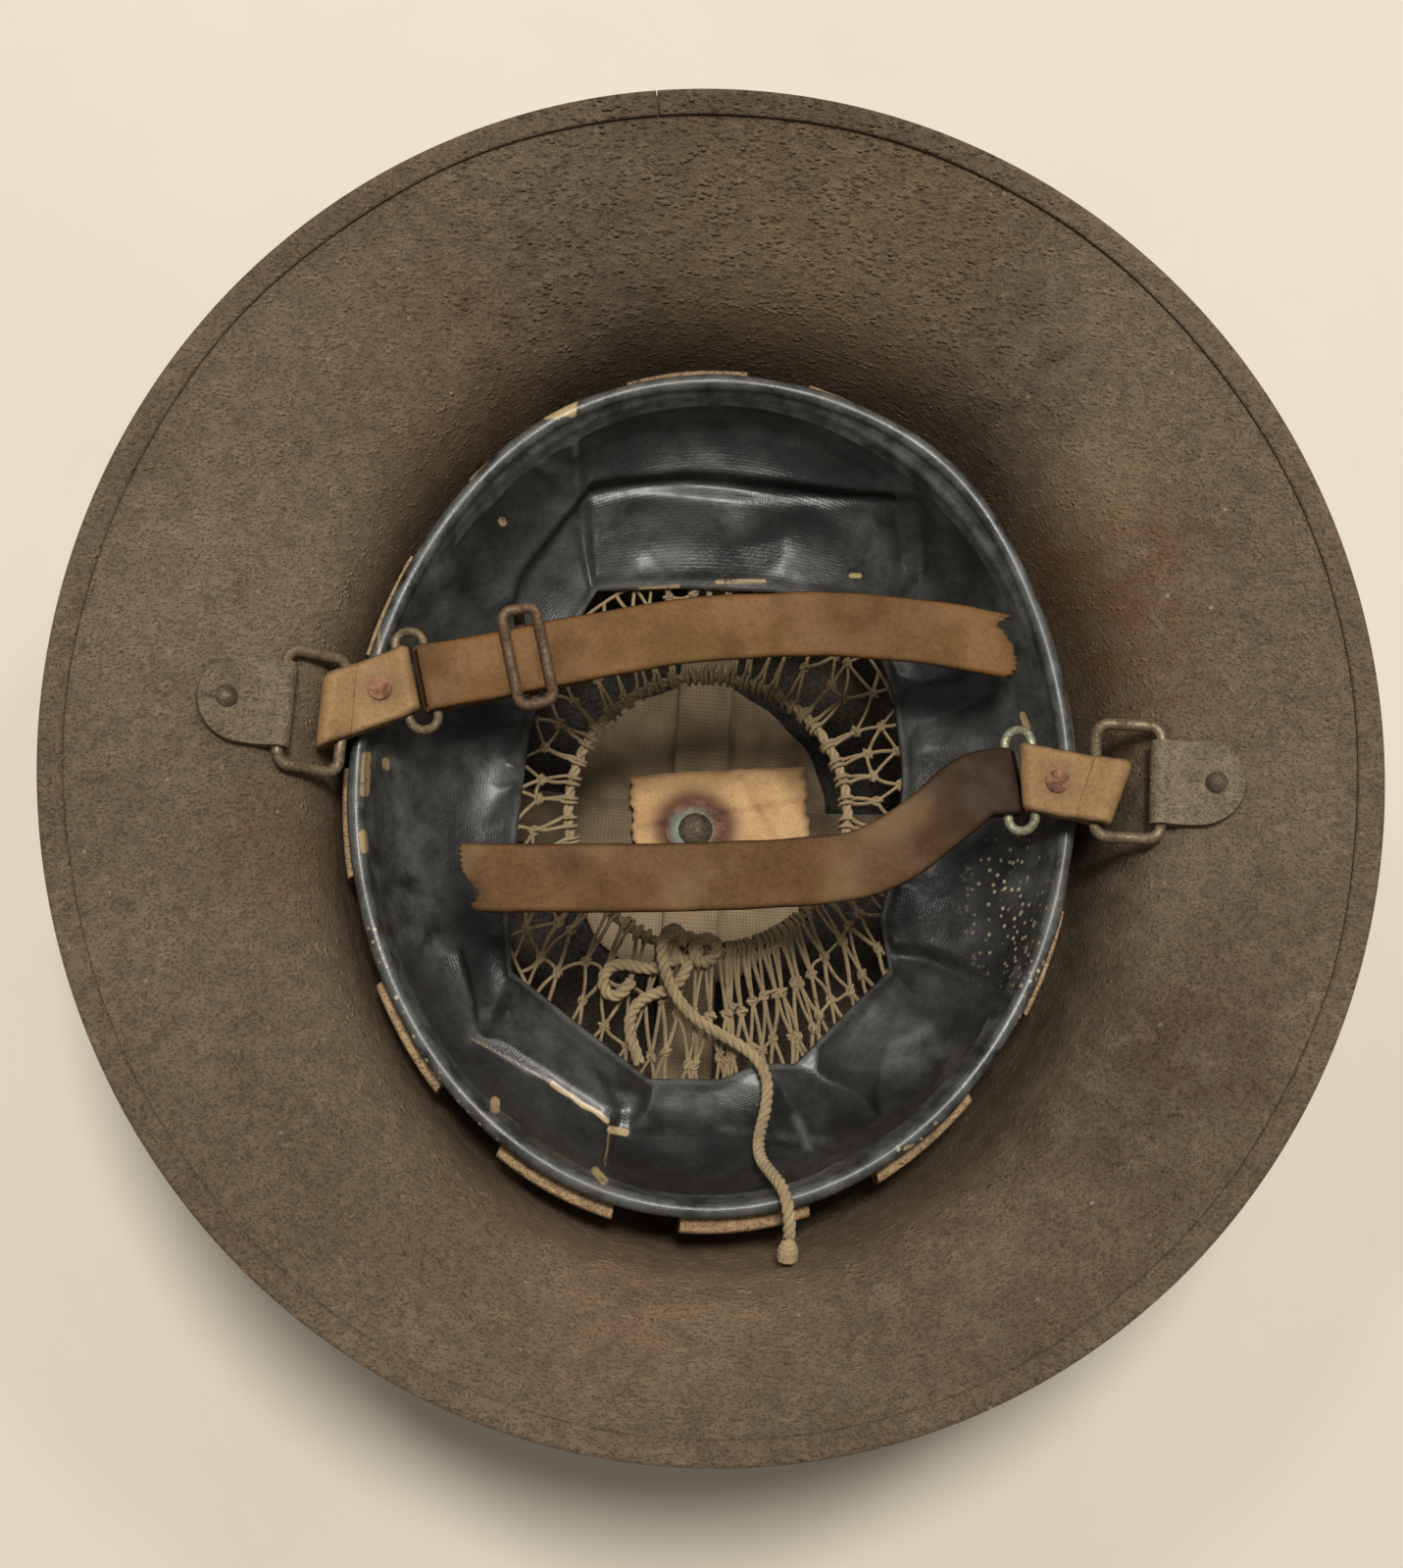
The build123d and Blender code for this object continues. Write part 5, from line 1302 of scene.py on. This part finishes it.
def make_crown_strap(name, node, half_span, base, lengthwise, tone):
    """A webbing strap from band to band: height by the route's shares of its rise, through a smooth line."""
    rise = WEBBING_TOP - base
    half = [(x * half_span, base + z * rise) for x, z in CROWN_STRAP_SHARES]
    line = np.array([(-x, z) for x, z in half[:0:-1]] + half)
    line = even(through(line, 14), 200)
    zero = np.zeros(len(line))
    if lengthwise:
        middle = np.stack([zero + LINER_MIDDLE[0], line[:, 0] + LINER_MIDDLE[1], line[:, 1]], 1)
        side = np.tile(vec(1, 0, 0), (len(line), 1))
    else:
        middle = np.stack([line[:, 0] + LINER_MIDDLE[0], zero + LINER_MIDDLE[1], line[:, 1]], 1)
        side = np.tile(vec(0, 1, 0), (len(line), 1))
    face = np.cross(slopes(middle), side)
    face *= np.sign(face[:, 2:3] + 1e-6)
    grid, across = strip_grid(middle, side, face, WEBBING_WIDTH, WEBBING_THICKNESS)
    uv = texture_spots(np.arange(len(line))[:, None] * 0.001, across[None] * 0.015)
    obj = outward(grid_surface(name, grid, close_columns=True, caps=0, uv=uv))
    return finish_piece(obj, MATERIALS[tone], "helmet", "webbing", node)


def make_label():
    """A torn scrap of paper, left bare: an oblong whose edge wanders, curling up at its ends, creased across."""
    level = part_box("paper_label")[0][2] / METRE
    rows, columns = 40, 90
    u, v = np.meshgrid(np.linspace(-1, 1, rows), np.linspace(-1, 1, columns), indexing="ij")
    edge_u = 1 - 0.010 * np.sin(v * 9 + 1) - 0.008 * np.sin(v * 23) - 0.10 * np.exp(-((v + 0.95) / 0.15) ** 2)
    edge_v = 1 - 0.014 * np.sin(u * 7 + 2) - 0.012 * np.sin(u * 19)
    x, y = v * edge_v * LABEL_HALF[0], u * edge_u * LABEL_HALF[1] - 1.2
    flat = np.stack([LABEL_MIDDLE[0] + x * math.cos(LABEL_TURN) - y * math.sin(LABEL_TURN),
                     LABEL_MIDDLE[1] + x * math.sin(LABEL_TURN) + y * math.cos(LABEL_TURN)], -1)
    crease = 0.5 * np.exp(-((v - 0.45 + 0.2 * u) / 0.05) ** 2) + 0.4 * np.exp(-((u + 0.1 - 0.3 * v) / 0.08) ** 2)
    away = np.linalg.norm(flat - CROWN, axis=-1)
    free = ease((away - 8.0) / 8.0)
    height = level + 0.05 + free * (0.25 + crease + 0.9 * np.abs(v) ** 5 + 0.35 * ripple(flat, 14.0, 41))
    top = raised(flat, height + LABEL_THICKNESS)
    bottom = raised(flat, height)[:, ::-1]
    grid = np.concatenate([top, bottom], 1)
    uv = grid[..., :2] * METRE
    obj = outward(grid_surface("paper_scrap", grid, close_columns=True, caps=-1, uv=uv))
    stain = np.clip(np.exp(-((away - 8.5) / 3.5) ** 2) * 0.9 + crease * 0.4, 0, 1)
    border = np.maximum(ease((np.abs(u) - 0.85) / 0.15), ease((np.abs(v) - 0.93) / 0.07)) * 0.5
    value = np.maximum(stain, border)
    add_value(obj, "stain", np.concatenate([value, value[:, ::-1]], 1))
    return finish_piece(obj, MATERIALS["paper"], "helmet", "paper", "paper_label")


def make_liner_band():
    """The band behind the oilcloth: a closed oblong section carried round, its ends a little apart at the back."""
    angle = np.linspace(math.pi / 2 + BAND_GAP, math.pi / 2 + TURN - BAND_GAP, 300)
    section = [(-0.75, 62.2), (-0.75, 78.5), (0.0, 78.7), (0.75, 78.5), (0.75, 62.2), (0.0, 62.0)]
    way = np.stack([np.cos(angle), np.sin(angle)], 1)
    rings = []
    for out, up in section:
        flat = LINER_MIDDLE + way * (BAND_HALF + out)
        rings.append(raised(flat, up))
    grid = np.stack(rings, 1)
    uv = texture_spots(angle[:, None] * 0.09, np.arange(6)[None] * 0.005)
    obj = outward(grid_surface("liner_band_strip", grid, close_columns=True, caps=-1, uv=uv))
    add_value(obj, "stain", np.zeros(len(angle) * 6))
    add_value(obj, "pale", np.zeros(len(angle) * 6))
    return finish_piece(obj, MATERIALS["band"], "helmet", "liner_leather", "liner_band")


def make_rubber_tube(i):
    """A flattened tube of old rubber along the band: an oblong section with rounded corners and a bore."""
    node = f"rubber_tube_{i + 1:02d}"
    start = math.radians(TUBE_FIRST + i * 360.0 / TUBES)
    middle = math.atan2(TUBE_PLACES[1] * math.sin(start), TUBE_PLACES[0] * math.cos(start))
    direction = np.linspace(middle - TUBE_REACH * 0.99, middle + TUBE_REACH * 0.99, 48)
    t = np.arctan2(TUBE_HALF[0] * np.sin(direction), TUBE_HALF[1] * np.cos(direction))
    way = np.stack([np.cos(t), np.sin(t)], 1)
    near, wide = TUBE_HALF * way, (TUBE_HALF + TUBE_DEPTH) * way
    angle = np.linspace(0, TURN, 24, endpoint=False)
    across = (np.sign(np.cos(angle)) * np.abs(np.cos(angle)) ** 0.4 * 0.5 + 0.5)
    up = np.sign(np.sin(angle)) * np.abs(np.sin(angle)) ** 0.55
    rings = []
    for inset in (0.0, 1.0):
        share = 0.5 + (across - 0.5) * (1 - inset * 0.5)
        flat = near[:, None] + (wide - near)[:, None] * share[None, :, None] + LINER_MIDDLE
        level = TUBE_LEVEL + up * (TUBE_HALF_HEIGHT - inset * 0.9)
        rings.append(raised(flat, level[None]))
    grid = np.concatenate([rings[0], rings[1][::-1]], 0)
    grid[:48, :, 2] += ripple(grid[:48], 12.0, 60 + i) * 0.15
    uv = texture_spots(np.arange(96)[:, None] * 0.0006, np.arange(24)[None] * 0.001)
    obj = outward(grid_surface(f"{node}_piece", grid, close_rows=True, close_columns=True, uv=uv))
    return finish_piece(obj, MATERIALS["rubber"], "helmet", "old_rubber", node)


# Studio

def make_studio():
    """A pale warm floor, three high lamps and a soft even sky."""
    f = Finish("floor_paint", 0.75)
    wide = f.use("mottle", Scale=3.0, Low=0.3, High=0.7)
    f.colour(f.mix(wide, tint(236, 228, 212), tint(230, 221, 202)))
    floor = build("floor", vec(-4000, -4000, 0, 4000, -4000, 0, 4000, 4000, 0, -4000, 4000, 0).reshape(4, 3),
                  [[0, 1, 2, 3]], None, False)
    floor.data.materials.append(f.material)
    for name, at, power, size, colour in (
            ("lamp_left", (-820.0, 820.0, 1900.0), 4.6, 260.0, (1.0, 0.96, 0.90)),
            ("lamp_right", (760.0, 860.0, 1900.0), 4.6, 260.0, (1.0, 0.97, 0.92)),
            ("lamp_above", (0.0, 340.0, 1850.0), 23.6, 420.0, (1.0, 0.97, 0.92))):
        data = bpy.data.lights.new(name, "AREA")
        data.shape, data.size, data.energy, data.color = "DISK", size * METRE, power, colour
        lamp = bpy.data.objects.new(name, data)
        way = Matrix.Translation([c * METRE for c in at])
        target = (vec(0, 0, 60) - vec(*at)) / np.linalg.norm(vec(0, 0, 60) - vec(*at))
        back = -target
        right = np.cross(vec(0, 0, 1), back)
        right /= np.linalg.norm(right)
        axes = np.stack([right, np.cross(back, right), back], 1)
        lamp.matrix_world = way @ Matrix(axes.tolist()).to_4x4()
        bpy.context.collection.objects.link(lamp)
    world = bpy.data.worlds.new("room")
    world.use_nodes = True
    world.node_tree.nodes["Background"].inputs["Color"].default_value = (1.0, 0.98, 0.94, 1.0)
    world.node_tree.nodes["Background"].inputs["Strength"].default_value = 0.2
    bpy.context.scene.world = world


# The straps' lines as shares of their length, and their torn ends: how far out, and where across
LEFT_ROUTE = [(0.0, 0.0), (0.275, 0.0), (0.435, -0.004), (0.572, -0.019), (0.695, -0.042), (0.855, -0.087),
              (1.0, -0.144)]
RIGHT_ROUTE = [(0.0, 0.0), (0.060, 0.010), (0.145, 0.076), (0.227, 0.130), (0.325, 0.157), (0.586, 0.169),
               (1.0, 0.165)]
LEFT_TEAR = [(0.37, -0.5), (0.64, -0.42), (0.8, -0.3), (0.75, -0.15), (0.53, 0.0), (0.0, 0.1), (-0.17, 0.2),
             (-0.65, 0.28), (-0.3, 0.38), (0.05, 0.5)]
RIGHT_TEAR = [(0.8, -0.5), (0.53, -0.3), (0.64, -0.1), (-0.08, 0.1), (-0.4, 0.2), (-0.28, 0.3), (0.05, 0.42),
              (-0.68, 0.5)]

bpy.context.scene.view_settings.view_transform = "Standard"
make_camera()
end_knot = make_end_knot()
make_free_cord("cord_tail", "drawstring_tail", TAIL_ROUTE)
make_free_cord("cord_curl", "drawstring_curl", CURL_ROUTE)
make_free_cord("cord_short_end", "drawstring_short_end", SHORT_ROUTE)
make_rim_strip()
make_ring_and_knot()
make_net()
make_oilcloth()
make_strap("strap_with_slide", "left_strap", LEFT_ROUTE, 138.0, 37.0, LEFT_TEAR, "tan_leather", "strap",
           [(30.0, 12.0, 0.25), (104.0, 22.0, 0.42)], 71)
make_strap("lower_strap", "right_strap", RIGHT_ROUTE, 128.0, 18.0, RIGHT_TEAR, "red_leather", "red",
           [(0.0, 36.0, 0.95), (78.0, 14.0, 0.2)], 81)
make_loop("left_leather_loop", "left_loop", CHAIN["left_loop"], CHAIN["left_eye"], math.radians(27.5), 91)
make_loop("right_leather_loop", "right_loop", CHAIN["right_loop"], CHAIN["right_eye"], math.radians(9.0), 95)
make_crown_pad()
make_crown_strap("side_webbing", "side_crown_strap", BAND_HALF[0], 6.5, False, "webbing")
make_crown_strap("long_webbing", "long_crown_strap", BAND_HALF[1], 8.6, True, "felt")
make_label()
make_liner_band()
for tube in range(TUBES):
    make_rubber_tube(tube)
for node_name, finish in NODE_FINISHES.items():
    paint_node(node_name, MATERIALS[finish])
make_studio()
